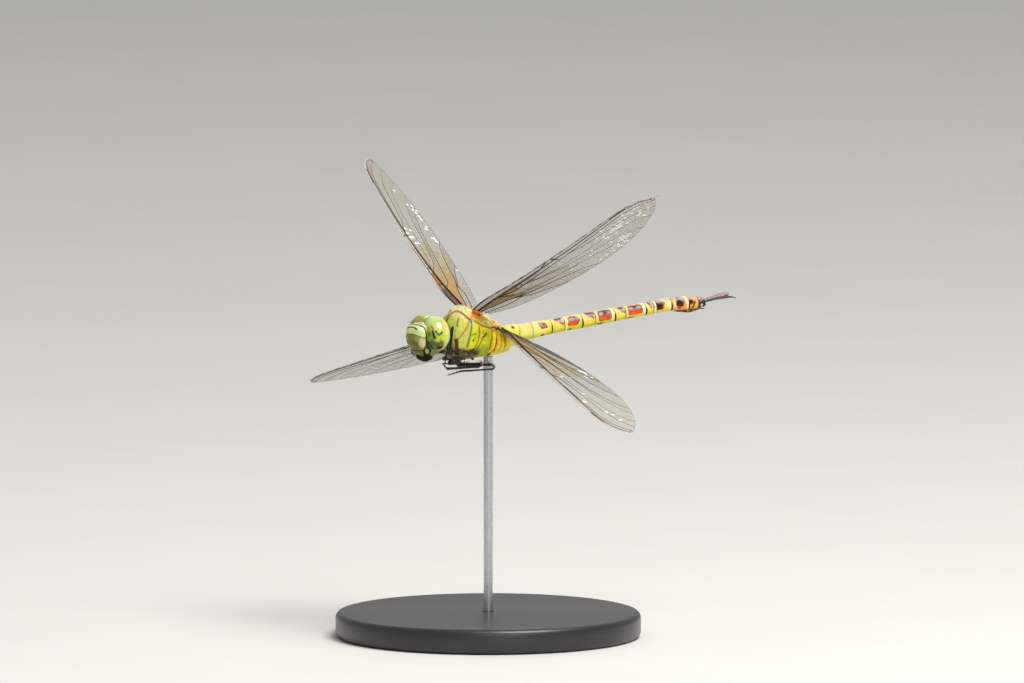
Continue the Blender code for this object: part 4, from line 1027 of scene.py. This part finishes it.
# Long veins from front to back: where each leaves the one before it and rejoins it, radius at
# root and tip, height of its fold, and (share of the span, share of the chord from the front)
VEINS = {
    "fore": (
        (0, 2, 0.15, 0.07, 0.10, ((0, 0), (1, 0))),
        (0, 0.485, 0.11, 0.07, -0.28, ((0, 0.16), (0.1, 0.13), (0.3, 0.085), (0.45, 0.055), (0.485, 0.0), (1, 0))),
        (0, 2, 0.15, 0.06, 0.22, ((0, 0.33), (0.05, 0.30), (0.1, 0.25), (0.2, 0.175), (0.35, 0.125), (0.485, 0.11),
         (0.65, 0.09), (0.8, 0.075), (0.9, 0.075), (0.96, 0.12), (1, 0.3))),
        (0.12, 2, 0.09, 0.05, -0.22, ((0.1, 0.25), (0.13, 0.30), (0.2, 0.26), (0.3, 0.215), (0.4, 0.185),
         (0.485, 0.165), (0.6, 0.155), (0.7, 0.15), (0.8, 0.155), (0.88, 0.19), (0.95, 0.35), (0.985, 0.7),
         (1, 0.9))),
        (0.50, 2, 0.07, 0.045, 0.12, ((0.48, 0.165), (0.55, 0.20), (0.62, 0.255), (0.7, 0.29), (0.78, 0.335),
         (0.85, 0.42), (0.91, 0.60), (0.945, 0.82), (0.96, 1), (1, 1))),
        (0.26, 2, 0.07, 0.045, -0.14, ((0.24, 0.22), (0.3, 0.27), (0.4, 0.335), (0.5, 0.375), (0.6, 0.40),
         (0.7, 0.43), (0.78, 0.50), (0.84, 0.64), (0.88, 0.82), (0.9, 1), (1, 1))),
        (0.24, 2, 0.075, 0.045, 0.16, ((0.22, 0.23), (0.3, 0.33), (0.4, 0.44), (0.5, 0.51), (0.6, 0.56),
         (0.68, 0.63), (0.75, 0.75), (0.8, 0.9), (0.825, 1), (1, 1))),
        (0.12, 2, 0.09, 0.045, -0.16, ((0.1, 0.27), (0.15, 0.40), (0.2, 0.45), (0.3, 0.52), (0.4, 0.575),
         (0.5, 0.62), (0.58, 0.67), (0.66, 0.76), (0.72, 0.88), (0.755, 1), (1, 1))),
        (0, 2, 0.10, 0.045, 0.16, ((0, 0.52), (0.06, 0.54), (0.12, 0.56), (0.18, 0.62), (0.22, 0.68), (0.3, 0.72),
         (0.4, 0.79), (0.48, 0.88), (0.54, 1), (1, 1))),
        (0.14, 2, 0.08, 0.045, -0.12, ((0.12, 0.56), (0.18, 0.66), (0.22, 0.75), (0.27, 0.82), (0.33, 0.92),
         (0.37, 1), (1, 1))),
        (0, 0.22, 0.08, 0.05, 0.10, ((0, 0.78), (0.05, 0.77), (0.1, 0.75), (0.16, 0.76), (0.22, 0.78), (1, 1))),
    ),
    "hind": (
        (0, 2, 0.15, 0.07, 0.10, ((0, 0), (1, 0))),
        (0, 0.41, 0.11, 0.07, -0.28, ((0, 0.10), (0.1, 0.10), (0.25, 0.065), (0.38, 0.04), (0.41, 0), (1, 0))),
        (0, 2, 0.15, 0.06, 0.22, ((0, 0.2), (0.05, 0.19), (0.1, 0.165), (0.2, 0.115), (0.3, 0.09), (0.41, 0.085),
         (0.6, 0.075), (0.8, 0.07), (0.9, 0.075), (0.96, 0.12), (1, 0.3))),
        (0.1, 2, 0.09, 0.05, -0.22, ((0.08, 0.165), (0.12, 0.18), (0.2, 0.155), (0.3, 0.135), (0.41, 0.12),
         (0.6, 0.125), (0.8, 0.14), (0.88, 0.175), (0.95, 0.34), (0.985, 0.7), (1, 0.9))),
        (0.43, 2, 0.07, 0.045, 0.12, ((0.41, 0.12), (0.5, 0.17), (0.6, 0.22), (0.7, 0.27), (0.8, 0.34),
         (0.87, 0.47), (0.92, 0.66), (0.95, 0.85), (0.965, 1), (1, 1))),
        (0.22, 2, 0.07, 0.045, -0.14, ((0.2, 0.15), (0.3, 0.22), (0.4, 0.27), (0.5, 0.31), (0.6, 0.345),
         (0.7, 0.39), (0.78, 0.47), (0.85, 0.64), (0.89, 0.84), (0.91, 1), (1, 1))),
        (0.2, 2, 0.075, 0.045, 0.16, ((0.18, 0.15), (0.26, 0.24), (0.35, 0.33), (0.45, 0.40), (0.55, 0.455),
         (0.65, 0.53), (0.73, 0.65), (0.8, 0.83), (0.84, 1), (1, 1))),
        (0.1, 2, 0.09, 0.045, -0.16, ((0.08, 0.17), (0.14, 0.26), (0.2, 0.31), (0.3, 0.40), (0.4, 0.46),
         (0.5, 0.51), (0.6, 0.59), (0.68, 0.7), (0.74, 0.84), (0.785, 1), (1, 1))),
        (0, 2, 0.10, 0.045, 0.16, ((0, 0.3), (0.06, 0.31), (0.12, 0.35), (0.17, 0.41), (0.25, 0.47), (0.35, 0.55),
         (0.45, 0.63), (0.55, 0.76), (0.62, 0.9), (0.655, 1), (1, 1))),
        (0.08, 2, 0.09, 0.045, -0.12, ((0.06, 0.31), (0.12, 0.40), (0.17, 0.50), (0.23, 0.60), (0.3, 0.71),
         (0.38, 0.84), (0.45, 0.95), (0.475, 1), (1, 1))),
        (0, 2, 0.08, 0.045, 0.10, ((0, 0.42), (0.05, 0.45), (0.1, 0.53), (0.15, 0.66), (0.2, 0.78), (0.26, 0.87),
         (0.32, 0.95), (0.36, 1), (1, 1))),
    ),
}
NODUS = {"fore": 0.485, "hind": 0.41}
STIGMA = (0.82, 0.90)
STIGMA_FIELD = 1
JOIN_REACH = 0.10
WING_START, WING_END = 0.002, 0.9995
FILM_ROWS, VEIN_ROWS = 220, 300
STIFF_FIELDS = 3
CELL_SIZES = (0.60, 0.60, 0.66, 0.68)
FIRST_CELL, LAST_CELL = 0.004, 0.999
LEAST_ROOM = 0.13
WIDEST_CELL = 4.0
JITTER = 0.10
PATCH_LIFT = 0.03
LEAST_CROSS_VEIN = 0.03
# radius of a cross vein at the root, a third out and at the tip, and its colour
STIFF_CROSS_VEIN = ((0.050, 0.040, 0.030), (0.022, 0.014, 0.010))
FINE_CROSS_VEIN = ((0.036, 0.024, 0.018), (0.085, 0.058, 0.035))
BACK_EDGE = (0.05, 0.035)

CLEAR, AMBER, BROWN, WEAR_AND_GLINT, TINTED, FAINT = range(6)
# share of the span that the tint reaches in the front two fields, and the amber in the others
ROOT_TINT = {"fore": 0.28, "hind": 0.22}
AMBER_FIELDS = {2: 0.26, 3: 0.24, 4: 0.22, 5: 0.20, 6: 0.18, 7: 0.20, 8: 0.06}
# white places, partly worn film and partly painted glints: share of length, share of chord, their reach, and how
# thickly they lie
WEAR_AND_GLINT_PLACES = {
    ("fore", -1): ((0.49, 0.22, 0.035, 0.06, 1.0), (0.44, 0.28, 0.02, 0.04, 0.9), (0.71, 0.88, 0.045, 0.07, 0.9),
                   (0.53, 0.92, 0.025, 0.06, 1.0), (0.62, 0.82, 0.02, 0.10, 0.5)),
    ("fore", 1): ((0.72, 0.84, 0.04, 0.10, 1.2), (0.74, 0.46, 0.07, 0.10, 0.5), (0.85, 0.40, 0.08, 0.20, 0.30),
                  (0.62, 0.90, 0.05, 0.07, 0.5), (0.45, 0.66, 0.015, 0.05, 0.9), (0.90, 0.70, 0.04, 0.2, 0.3)),
    ("hind", -1): ((0.60, 0.30, 0.10, 0.10, 0.2), (0.75, 0.60, 0.08, 0.15, 0.2)),
    ("hind", 1): ((0.37, 0.90, 0.03, 0.05, 1.0), (0.45, 0.91, 0.045, 0.05, 1.1), (0.42, 0.80, 0.04, 0.03, 0.6),
                  (0.86, 0.60, 0.08, 0.2, 0.06)),
}
STRAY_WEAR_AND_GLINT = 0.01


class Wing:
    """One wing's shape: flat places (mm along the span, mm forward) and where they go."""

    def __init__(self, pair, side):
        self.pair, self.side = pair, side
        self.length, self.front, self.back, (forward, left, up), *angles = WINGS[pair]
        lift, sweep, twist, gain, self.bend = (mean + side * extra for mean, extra in angles)
        self.twist, self.gain = math.radians(twist), math.radians(gain)
        hinge = Matrix.Translation(Vector(world((forward, side * left, up))))
        self.matrix = np.array(hinge @ Matrix.Rotation(-BODY_PITCH, 4, "X")
                               @ Matrix.Rotation(-side * math.radians(sweep), 4, "Z")
                               @ Matrix.Rotation(-side * math.radians(lift), 4, "Y"))
        self.up = self.matrix[:3, 2]
        self.veins = VEINS[pair]

    def edges(self, share):
        return read(self.front, share)[:, 0], read(self.back, share)[:, 0]

    def vein(self, number, share):
        """Chord share and height of a long vein, which leaves the one before it and rejoins it smoothly."""
        if number == len(self.veins):
            return np.ones(len(share)), np.zeros(len(share))
        start, end, _, _, high, line = self.veins[number]
        chord = np.clip(read(line, np.maximum(share, line[0][0]))[:, 0], 0, 1)
        height = high * rise(share, 1.05, 0.15) * rise(share, -0.05, 0.06) * rise(chord, 1.0, 0.88)
        if number == 0:
            return chord, height
        before, height_before = self.vein(number - 1, share)
        own = rise(share, end, end - JOIN_REACH)
        if start > 0:
            own = own * rise(share, start, start + JOIN_REACH)
        chord = before + (np.maximum(chord, before) - before) * own
        return chord, height_before + (height - height_before) * own

    def chord(self, number, share):
        """Chord share of a long vein at one place along the span."""
        return self.vein(number, np.array((share,)))[0][0]

    def flat(self, share, chord):
        front, back = self.edges(share)
        return np.stack((share * self.length, (front + (back - front) * chord) * self.length), -1)

    def world(self, share, chord, lift):
        """Metres in the frame of a place given by span share, chord share and height in mm."""
        front, back = self.edges(share)
        reach = front + (back - front) * chord
        turn = self.twist + self.gain * share
        local = np.stack((self.side * share, -reach * np.cos(turn),
                          reach * np.sin(turn) + self.bend * share ** 2 + lift / self.length), -1)
        return local * self.length * MM @ self.matrix[:3, :3].T + self.matrix[:3, 3]

    def place(self, share, chord):
        """Metres in the frame of one place on the wing."""
        return self.world(np.array((share,)), np.array((chord,)), np.zeros(1))[0]


def field_seeds(wing, number):
    """Rows of cell centres between two long veins, and their twins across both veins."""
    cell = CELL_SIZES[min(number, 3)]
    seeds, kinds = [], []
    share = FIRST_CELL
    while share < LAST_CELL:
        front, back = wing.edges(share)
        room = (wing.chord(number + 1, share) - wing.chord(number, share)) * (front - back)[0] * wing.length
        if room > LEAST_ROOM:
            rows = max(1, int(round(room / cell))) if number >= STIFF_FIELDS else 1
            for row in range(rows):
                middle = (row + 0.5) / rows + (JITTER / rows * rng.uniform(-1, 1) if rows > 1 else 0)
                along = min(share + (0.5 * (row % 2) + JITTER * rng.uniform(-1, 1)) * cell / wing.length, WING_END)
                seeds.append((along, middle))
                kinds.append(0)
                if row == 0:
                    seeds.append((along, -middle))
                    kinds.append(-1)
                if row == rows - 1:
                    seeds.append((along, 2 - middle))
                    kinds.append(1)
        share += cell / wing.length
    return np.array(seeds), np.array(kinds)


def field_cells(wing, number):
    """Cells between two long veins: corners (span share, chord share), which vein each lies on, outlines."""
    seeds, kinds = field_seeds(wing, number)
    if len(seeds) < 6:
        return np.zeros((0, 2)), [], []
    top, low = wing.vein(number, seeds[:, 0])[0], wing.vein(number + 1, seeds[:, 0])[0]
    flat = wing.flat(seeds[:, 0], top + (low - top) * seeds[:, 1])
    points, _, triangles, origins, _, _ = geometry.delaunay_2d_cdt(
        [Vector(place) for place in flat.tolist()], [], [], 0, 1e-5)
    points = np.array([tuple(point) for point in points])
    kind_of = np.array([kinds[origin[0]] for origin in origins])
    corners, around = [], {}
    for triangle in triangles:
        a, b, c = points[list(triangle)]
        ab, ac = b - a, c - a
        cross = 2 * (ab[0] * ac[1] - ab[1] * ac[0])
        if abs(cross) < 1e-9:
            continue
        centre = a + np.array((ac[1] * (ab @ ab) - ab[1] * (ac @ ac), ab[0] * (ac @ ac) - ac[0] * (ab @ ab))) / cross
        types = {int(kind_of[corner]) for corner in triangle}
        corners.append((*centre, -1 if -1 in types else 1 if 1 in types else 0))
        for corner in triangle:
            around.setdefault(corner, []).append(len(corners) - 1)
    corners = np.array(corners)
    share = np.clip(corners[:, 0] / wing.length, WING_START, WING_END)
    front, back = wing.edges(share)
    chord = np.clip((front * wing.length - corners[:, 1]) / np.maximum((front - back) * wing.length, 1e-6), 0, 1)
    top, low = wing.vein(number, share)[0], wing.vein(number + 1, share)[0]
    chord = np.clip(chord, top, low)
    chord = np.where(corners[:, 2] < 0, top, np.where(corners[:, 2] > 0, low, chord))
    cells = []
    for corner, ring in around.items():
        if kind_of[corner] != 0 or len(ring) < 3:
            continue
        middle = points[corner]
        ring = sorted(set(ring), key=lambda i: math.atan2(corners[i, 1] - middle[1], corners[i, 0] - middle[0]))
        if np.ptp(share[ring]) * wing.length < WIDEST_CELL:
            cells.append(ring)
    return np.column_stack((share, chord)), corners[:, 2], cells


def thin_bars(start, end, up, radius):
    """Four-sided bars between pairs of places, all at once."""
    ahead = unit(end - start)
    side = unit(np.cross(ahead, up))
    over = np.cross(side, ahead)
    radius = radius[:, None] * MM
    ring = np.stack([base + radius * way for base in (start, end) for way in (side, over, -side, -over)], 1)
    first = 8 * np.arange(len(start))[:, None, None]
    faces = np.array([(0, 4, 5, 1), (1, 5, 6, 2), (2, 6, 7, 3), (3, 7, 4, 0)])[None] + first
    return ring.reshape(-1, 3), faces.reshape(-1, 4)


def add_tube(veins, points, radii, colour, sides=8):
    """Tube through places in metres, with radii in millimetres."""
    veins.add_grid(tube_grid(np.asarray(points) / MM, radii, sides) * MM, colour)


def membrane_kind(wing, number, share, chord):
    """Which film a cell is made of: clear, amber or brown near the root, or white, which stands partly for worn film
    and partly for a painted glint.
    """
    reach = share + 0.03 * math.sin(9 * chord + number) + 0.03 * rng.uniform(-1, 1)
    if number < 2 and reach < ROOT_TINT[wing.pair]:
        return (FAINT, BROWN if reach < 0.6 * ROOT_TINT[wing.pair] else AMBER)[number]
    if number in AMBER_FIELDS:
        for edge, kind in ((AMBER_FIELDS[number], AMBER), (AMBER_FIELDS[number] + 0.09, TINTED), (0.46, FAINT)):
            if reach < edge:
                return kind
    chance = STRAY_WEAR_AND_GLINT
    for middle, depth, long, deep, most in WEAR_AND_GLINT_PLACES[wing.pair, wing.side]:
        chance += most * math.exp(-((share - middle) / long) ** 2 - ((chord - depth) / deep) ** 2)
    return WEAR_AND_GLINT if rng.random() < chance else CLEAR


def add_clear_film(wing, film, number):
    """Strip of clear film between two long veins, slightly wavy."""
    share = np.linspace(0.0, WING_END, FILM_ROWS)
    (top, top_lift), (low, low_lift) = wing.vein(number, share), wing.vein(number + 1, share)
    across = np.linspace(0, 1, 4)[None]
    chord = top[:, None] + (low - top)[:, None] * across
    lift = top_lift[:, None] + (low_lift - top_lift)[:, None] * across
    ripple = 0.025 * np.sin(3.1 * share[:, None] * wing.length + 2.5 * across) * 4 * across * (1 - across)
    flat = np.broadcast_to(share[:, None], chord.shape).ravel()
    points = wing.world(flat, chord.ravel(), (lift + ripple).ravel())
    front, back = wing.edges(share)
    open_ = (low - top) * (front - back) * wing.length > 0.02
    index = np.arange(chord.size).reshape(chord.shape)
    faces = np.stack((index[:-1, :-1], index[:-1, 1:], index[1:, 1:], index[1:, :-1]), -1)
    film.add(points, faces[open_[:-1] | open_[1:]].reshape(-1, 4).tolist(), WHITE, CLEAR)


def add_cells(wing, film, veins, number):
    """The cells of one field: patches of the films that aren't clear, and the cross veins."""
    places, borders, cells = field_cells(wing, number)
    if not cells:
        return
    share, chord = places.T
    (top, top_lift), (low, low_lift) = wing.vein(number, share), wing.vein(number + 1, share)
    lift = top_lift + (low_lift - top_lift) * np.clip((chord - top) / np.maximum(low - top, 1e-6), 0, 1)
    spots = wing.world(share, chord, lift)
    raised = wing.world(share, chord, lift + PATCH_LIFT)
    edges = {}
    for ring in cells:
        at, depth = share[ring].mean(), chord[ring].mean()
        if STIGMA[0] < at < STIGMA[1] and number == STIGMA_FIELD:
            continue
        kind, patch = membrane_kind(wing, number, at, depth), raised[ring]
        if kind == WEAR_AND_GLINT:
            patch = patch.mean(0) + (patch - patch.mean(0)) * rng.uniform(0.7, 1.0, (len(ring), 1))
        if kind != CLEAR:
            film.add(patch, [list(range(len(ring)))], WHITE, kind)
        edges.update(dict.fromkeys((min(a, b), max(a, b)) for a, b in zip(ring, ring[1:] + ring[:1])
                                   if borders[a] == 0 or borders[a] != borders[b]))
    if not edges:
        return
    start, end = np.array(list(edges)).T
    apart = np.linalg.norm(spots[start] - spots[end], axis=1) > LEAST_CROSS_VEIN * MM
    start, end = start[apart], end[apart]
    radii, colour = STIFF_CROSS_VEIN if number < STIFF_FIELDS else FINE_CROSS_VEIN
    points, faces = thin_bars(spots[start], spots[end], wing.up, np.interp(share[start], (0, 0.35, 1), radii))
    veins.add(points, faces.tolist(), colour)


def add_long_vein(wing, veins, number):
    """One long vein, or the back edge; the front edge is painted pale as a highlight, which is only flecked on two of
    the wings.
    """
    share = np.linspace(0.0, WING_END, VEIN_ROWS)
    chord, lift = wing.vein(number, share)
    if 0 < number < len(wing.veins):
        front, back = wing.edges(share)
        room = (front - back) * wing.length
        keep = ((chord - wing.vein(number - 1, share)[0]) * room > 0.03) & (chord < 0.995)
        keep[:-1] |= keep[1:]
        keep[1:] |= keep[:-1]
        if keep.sum() < 4:
            return
        share, chord, lift = share[keep], chord[keep], lift[keep]
    root, tip = BACK_EDGE if number == len(wing.veins) else wing.veins[number][2:4]
    if number > 4:
        root, tip = 0.8 * root, 0.75 * tip
    stout = 1.45 if 2 <= number < len(wing.veins) else 1.0
    radii = np.interp(share, (0, 0.12, 0.3, 0.45, 1), (stout * root, stout * root, root, (root + tip) / 2, tip))
    tube = tube_grid(wing.world(share, chord, lift) / MM, radii) * MM
    colours = painted(tube, (0.014, 0.009, 0.008), (rise(share, 0.2, 0.8)[:, None], (0.045, 0.030, 0.020)))
    if number == 0:
        # painted highlight along the front edge, unbroken on the two wings whose edge faces the light
        edge_faces_light = (wing.pair == "fore") != (wing.side > 0)
        flecks = 0.5 + 0.5 * np.sin(95 * share) * np.sin(41 * share + 1)
        pale = rise(share, 0.06, 0.2) * (0.9 if edge_faces_light else 0.75 * flecks)
        colours = blend(colours, pale[:, None], (0.70, 0.56, 0.52))
    veins.add_grid(tube, colours)


def add_details(wing, veins):
    """Thick joint at the nodus, long dark cell near the tip, a torn tip, and stout hind roots."""
    at = NODUS[wing.pair]
    share = at + np.linspace(0.0, 0.012, 8)
    joint = wing.world(share, np.linspace(0.0, wing.chord(3, at), 8), np.full(8, 0.05))
    add_tube(veins, joint, np.linspace(0.16, 0.09, 8), (0.02, 0.014, 0.012))
    share = np.linspace(*STIGMA, 24)
    low = wing.vein(2, share)[0]
    rows = [wing.world(share, low * across, 0 * share + high + 0.05) for across, high in (
        (0.0, 0.03), (0.25, 0.10), (0.75, 0.10), (1.0, 0.03), (1.0, -0.03), (0.75, -0.06), (0.25, -0.06), (0.0, -0.03))]
    veins.add_grid(np.array(rows).transpose(1, 0, 2), (0.09, 0.035, 0.02))
    if (wing.pair, wing.side) == ("fore", 1):
        torn = wing.place(0.985, 0.4)
        out, back, up = wing.matrix[:3, :3].T * MM
        route = resample((torn, torn + 1.4 * out, torn + 2.4 * out + 0.3 * back, torn + 2.9 * out - 0.5 * up), 14)
        add_tube(veins, route, np.linspace(0.10, 0.05, 14), (0.50, 0.34, 0.10))
    if wing.pair == "hind":
        for number, forward, up in ((0, 1.2, -0.6), (2, 0.3, -1.0)):
            joint = wing.place(0.05, wing.chord(number, 0.05))
            start = world((forward, wing.side * 2.7, up))
            route = resample((start, (start + joint) / 2 + 0.35 * MM * wing.up, joint), 12)
            add_tube(veins, route, np.linspace(0.14, 0.11, 12), (0.018, 0.011, 0.009), 10)


def add_wing(wing, films, vein_material):
    film, veins = Shell(), Shell()
    for number in range(len(wing.veins)):
        add_clear_film(wing, film, number)
        add_cells(wing, film, veins, number)
    for number in range(len(wing.veins) + 1):
        add_long_vein(wing, veins, number)
    add_details(wing, veins)
    name = f"wing_{wing.pair}_{'left' if wing.side > 0 else 'right'}"
    film.build(name + "_film", "wing_membrane", films, [name], metres=True)
    veins.build(name + "_veins", "wing_vein", [vein_material], metres=True)


# ---------------------------------------------------------------- coat of fine hair

STRANDS = 3600
STRAND_POINTS = 9
HAIR_COLOUR = (0.92, 0.86, 0.62)
BAKE_HALF = 0.0015


def build_hair(thorax, material):
    """Pale down on the front and top of the thorax, behind the head and under the wings."""
    rows, sides = thorax.shape[:2]
    normals = grid_normals(thorax).reshape(-1, 3)
    flat = thorax.reshape(-1, 3)
    _, f, l, u = on_left(flat)
    top = rise(u - 0.42 * f, -1.2, 0.3)
    middle = rise(l, 3.0, 1.2) * rise(f, 4.8, 5.8) * rise(u, 1.2, 2.2)
    under = rise(u, -5.0, -6.0) * rise(f, 4.0, 5.0) * 0.5
    back = rise(f, 0.5, -1.5) * rise(u, -1.6, -0.4)
    weight = np.clip(middle * 1.4 + top * 0.35 + under + back * 1.2, 0.004, 1.4)
    area = np.linalg.norm(np.cross(np.gradient(thorax, axis=0), np.gradient(thorax, axis=1)), axis=-1).reshape(-1)
    chance = weight * area
    chosen = rng.choice(len(flat), STRANDS, p=chance / chance.sum())
    root, out = flat[chosen], normals[chosen]
    lean = unit(out + rng.normal(0, 0.28, out.shape) + np.array((-0.25, 0, 0.15)))
    length = ((0.17 + 0.27 * rng.random(STRANDS)) * np.clip(weight[chosen], 0.5, 1.0))[:, None]
    bend = rng.normal(0, 0.22, out.shape) + np.array((-0.2, 0, -0.15))
    side = unit(np.cross(lean, (0.3, 0.2, 1.0)))
    other = np.cross(lean, side)
    rings = [np.stack([place + radius * (math.cos(angle) * side + math.sin(angle) * other) for angle in turns(3)], 1)
             for place, radius in ((root - out * 0.05, 0.016), (root + lean * (length * 0.5), 0.012),
                                   (root + (lean + bend) * length, 0.003))]
    faces = (ring_faces(3, 3)[None] + STRAND_POINTS * np.arange(STRANDS)[:, None, None]).reshape(-1, 4)
    colours = 0.25 * thorax_colours(root) + 0.75 * np.array(HAIR_COLOUR)
    coat = Shell()
    coat.add(np.stack(rings, 1), faces.tolist(), np.repeat(colours, STRAND_POINTS, axis=0))
    piece = coat.build("thorax_down", "body_hair", [material])
    row, column = np.divmod(chosen, sides)
    centre = np.stack((0.02 + 0.96 * column / sides, 0.02 + 0.96 * row / rows), -1)
    corner = np.array(((-1, -1), (1, -1), (0, 1))) * BAKE_HALF
    patch = np.concatenate((corner, corner * 0.6, corner * 0.2))
    layer = piece.data.uv_layers.new(name="OFBake")
    loops = np.empty(len(piece.data.loops), int)
    piece.data.loops.foreach_get("vertex_index", loops)
    layer.data.foreach_set("uv", (centre[loops // STRAND_POINTS] + patch[loops % STRAND_POINTS]).ravel())


# ---------------------------------------------------------------- stand, floor, light, camera

SHARP_DEGREES = 45
FLOOR_REACH = 9
# way from the insect, distance, width, power, colour
LIGHTS = {
    "key": ((0.476, 0.074, 0.875), 0.9, 0.58, 9.9, (1.0, 0.98, 0.94)),
    "front_fill": ((0.75, -0.30, 0.30), 1.2, 0.8, 2.6, (0.96, 0.98, 1.0)),
    "sky_behind": ((-0.55, 0.45, 0.75), 1.3, 1.3, 2.5, (1.0, 0.99, 0.96)),
}
SKY_COLOUR, SKY_STRENGTH = (0.80, 0.80, 0.78), 0.46
CAMERA_YAW = math.radians(52.96)
CAMERA_HEIGHT = math.radians(6.5)
CAMERA_DISTANCE = 5.0
SENSOR_WIDTH = 36
VIEW_WIDTH = 200.57
VIEW_RIGHT, VIEW_UP = 5.47, -3.68


def dress_stand():
    """Satin black base and steel rod, shaded smooth but with their sharp edges kept."""
    black, tree, shader = new_material("stand_satin_black", 0.35, coat=0.2)
    add_speckle(tree, shader, 9000, (0.010, 0.010, 0.011), (0.024, 0.024, 0.026), gloss=(0.30, 0.46))
    steel, tree, shader = new_material("stand_satin_steel", 0.3, metallic=1.0)
    add_speckle(tree, shader, 4000, (0.42, 0.43, 0.45), (0.62, 0.63, 0.65), gloss=(0.22, 0.36))
    for name, item in (("stand_base", black), ("stand_rod", steel)):
        stand = bpy.data.objects[name]
        stand.material_slots[0].material = item
        stand.data.polygons.foreach_set("use_smooth", [True] * len(stand.data.polygons))
        stand.modifiers.new("weld", "WELD").merge_threshold = 1e-6
        stand.modifiers.new("edges", "EDGE_SPLIT").split_angle = math.radians(SHARP_DEGREES)


def build_floor():
    made, tree, shader = new_material("floor_pale", 0.9, specular=0.2)
    add_speckle(tree, shader, 30, (0.66, 0.655, 0.635), (0.70, 0.695, 0.675))
    mesh = bpy.data.meshes.new("floor")
    mesh.from_pydata([(x * FLOOR_REACH, y * FLOOR_REACH, 0) for x, y in ((-1, -1), (1, -1), (1, 1), (-1, 1))],
                     [], [(0, 1, 2, 3)])
    mesh.materials.append(made)
    new_piece("floor", mesh)


def aim(piece, way, distance, target):
    """Put a light or camera some way off, looking back at the target."""
    piece.location = target + way * distance
    piece.rotation_mode = "QUATERNION"
    piece.rotation_quaternion = way.to_track_quat("Z", "Y")


def set_lights():
    for name, (way, distance, size, power, colour) in LIGHTS.items():
        data = bpy.data.lights.new(name, "AREA")
        data.shape = "DISK"
        data.size = size
        data.energy = power
        data.color = colour
        aim(new_piece(name, data), Vector(way).normalized(), distance, Vector(world((0, 0, 0))))
    sky = bpy.data.worlds.new("studio")
    sky.use_nodes = True
    sky.node_tree.nodes["Background"].inputs["Color"].default_value = (*SKY_COLOUR, 1)
    sky.node_tree.nodes["Background"].inputs["Strength"].default_value = SKY_STRENGTH
    bpy.context.scene.world = sky
    bpy.context.scene.view_settings.view_transform = "Standard"


def set_camera():
    """Long lens, looking slightly down on the head and left side."""
    way = Vector((math.sin(CAMERA_YAW) * math.cos(CAMERA_HEIGHT), -math.cos(CAMERA_YAW) * math.cos(CAMERA_HEIGHT),
                  math.sin(CAMERA_HEIGHT)))
    right = Vector((math.cos(CAMERA_YAW), math.sin(CAMERA_YAW), 0))
    data = bpy.data.cameras.new("camera")
    data.sensor_width = SENSOR_WIDTH
    data.lens = SENSOR_WIDTH * CAMERA_DISTANCE / (VIEW_WIDTH * MM)
    data.clip_start, data.clip_end = 0.05, 50
    camera = new_piece("camera", data)
    aim(camera, way, CAMERA_DISTANCE,
        Vector(world((0, 0, 0))) + (right * VIEW_RIGHT + way.cross(right) * VIEW_UP) * MM)
    bpy.context.scene.camera = camera


# ---------------------------------------------------------------- the whole

# colour, alpha, roughness, painted glow in the film's colour that stands for light shining through, specular level
FILMS = {
    "film_clear": ((0.52, 0.46, 0.34), 0.30, 0.15, 0.0, 0.5),
    "film_amber": ((0.36, 0.17, 0.002), 0.88, 0.18, 0.16, 0.25),
    "film_brown": ((0.12, 0.05, 0.005), 0.82, 0.2, 0.05, 0.25),
    "film_wear_and_glint": ((0.90, 0.84, 0.85), 0.78, 0.3, 0.55, 0.5),
    "film_tinted": ((0.34, 0.20, 0.012), 0.58, 0.16, 0.18, 0.3),
    "film_faint": ((0.36, 0.25, 0.05), 0.30, 0.16, 0.1, 0.3),
}


def film_material(name, colour, alpha, roughness, glow_for_light_through, specular):
    made, tree, shader = new_material(name, roughness, alpha=alpha, specular=specular)
    # painted glow: emission in the film's own colour stands for light shining through it
    shader.inputs["Emission Color"].default_value = (*colour, 1)
    shader.inputs["Emission Strength"].default_value = glow_for_light_through
    add_speckle(tree, shader, 1500, [0.8 * channel for channel in colour], colour)
    return made


def main():
    thorax = build_body(cuticle("body_cuticle", 0.42, mottle=0.22, coat=0.06, specular=0.25))
    mouth = cuticle("mouth_cuticle", 0.55, mottle=0.2, specular=0.05)
    black = cuticle("black_cuticle", 0.26, mottle=0.2, coat=0.12, specular=0.25)
    build_head(cuticle("head_cuticle", 0.40, mottle=0.18, specular=0.25),
               cuticle("face_cuticle", 0.34, mottle=0.25, coat=0.12, specular=0.25), mouth, black)
    build_eyes(cuticle("eye_facets", 0.16, mottle=0.14, coat=0.8, pits=16000.0, bump=0.05, broad=500.0, specular=0.3))
    build_legs(black)
    build_tail(cuticle("plate_cuticle", 0.36, mottle=0.25, coat=0.2), mouth)
    films = [film_material(name, *look) for name, look in FILMS.items()]
    vein = cuticle("vein_cuticle", 0.30, mottle=0.2)
    for pair in WINGS:
        for _, side in SIDES:
            add_wing(Wing(pair, side), films, vein)
    build_hair(thorax, cuticle("down", 0.7, mottle=0.1))
    dress_stand()
    build_floor()
    set_lights()
    set_camera()


main()
bpy.context.view_layer.update()
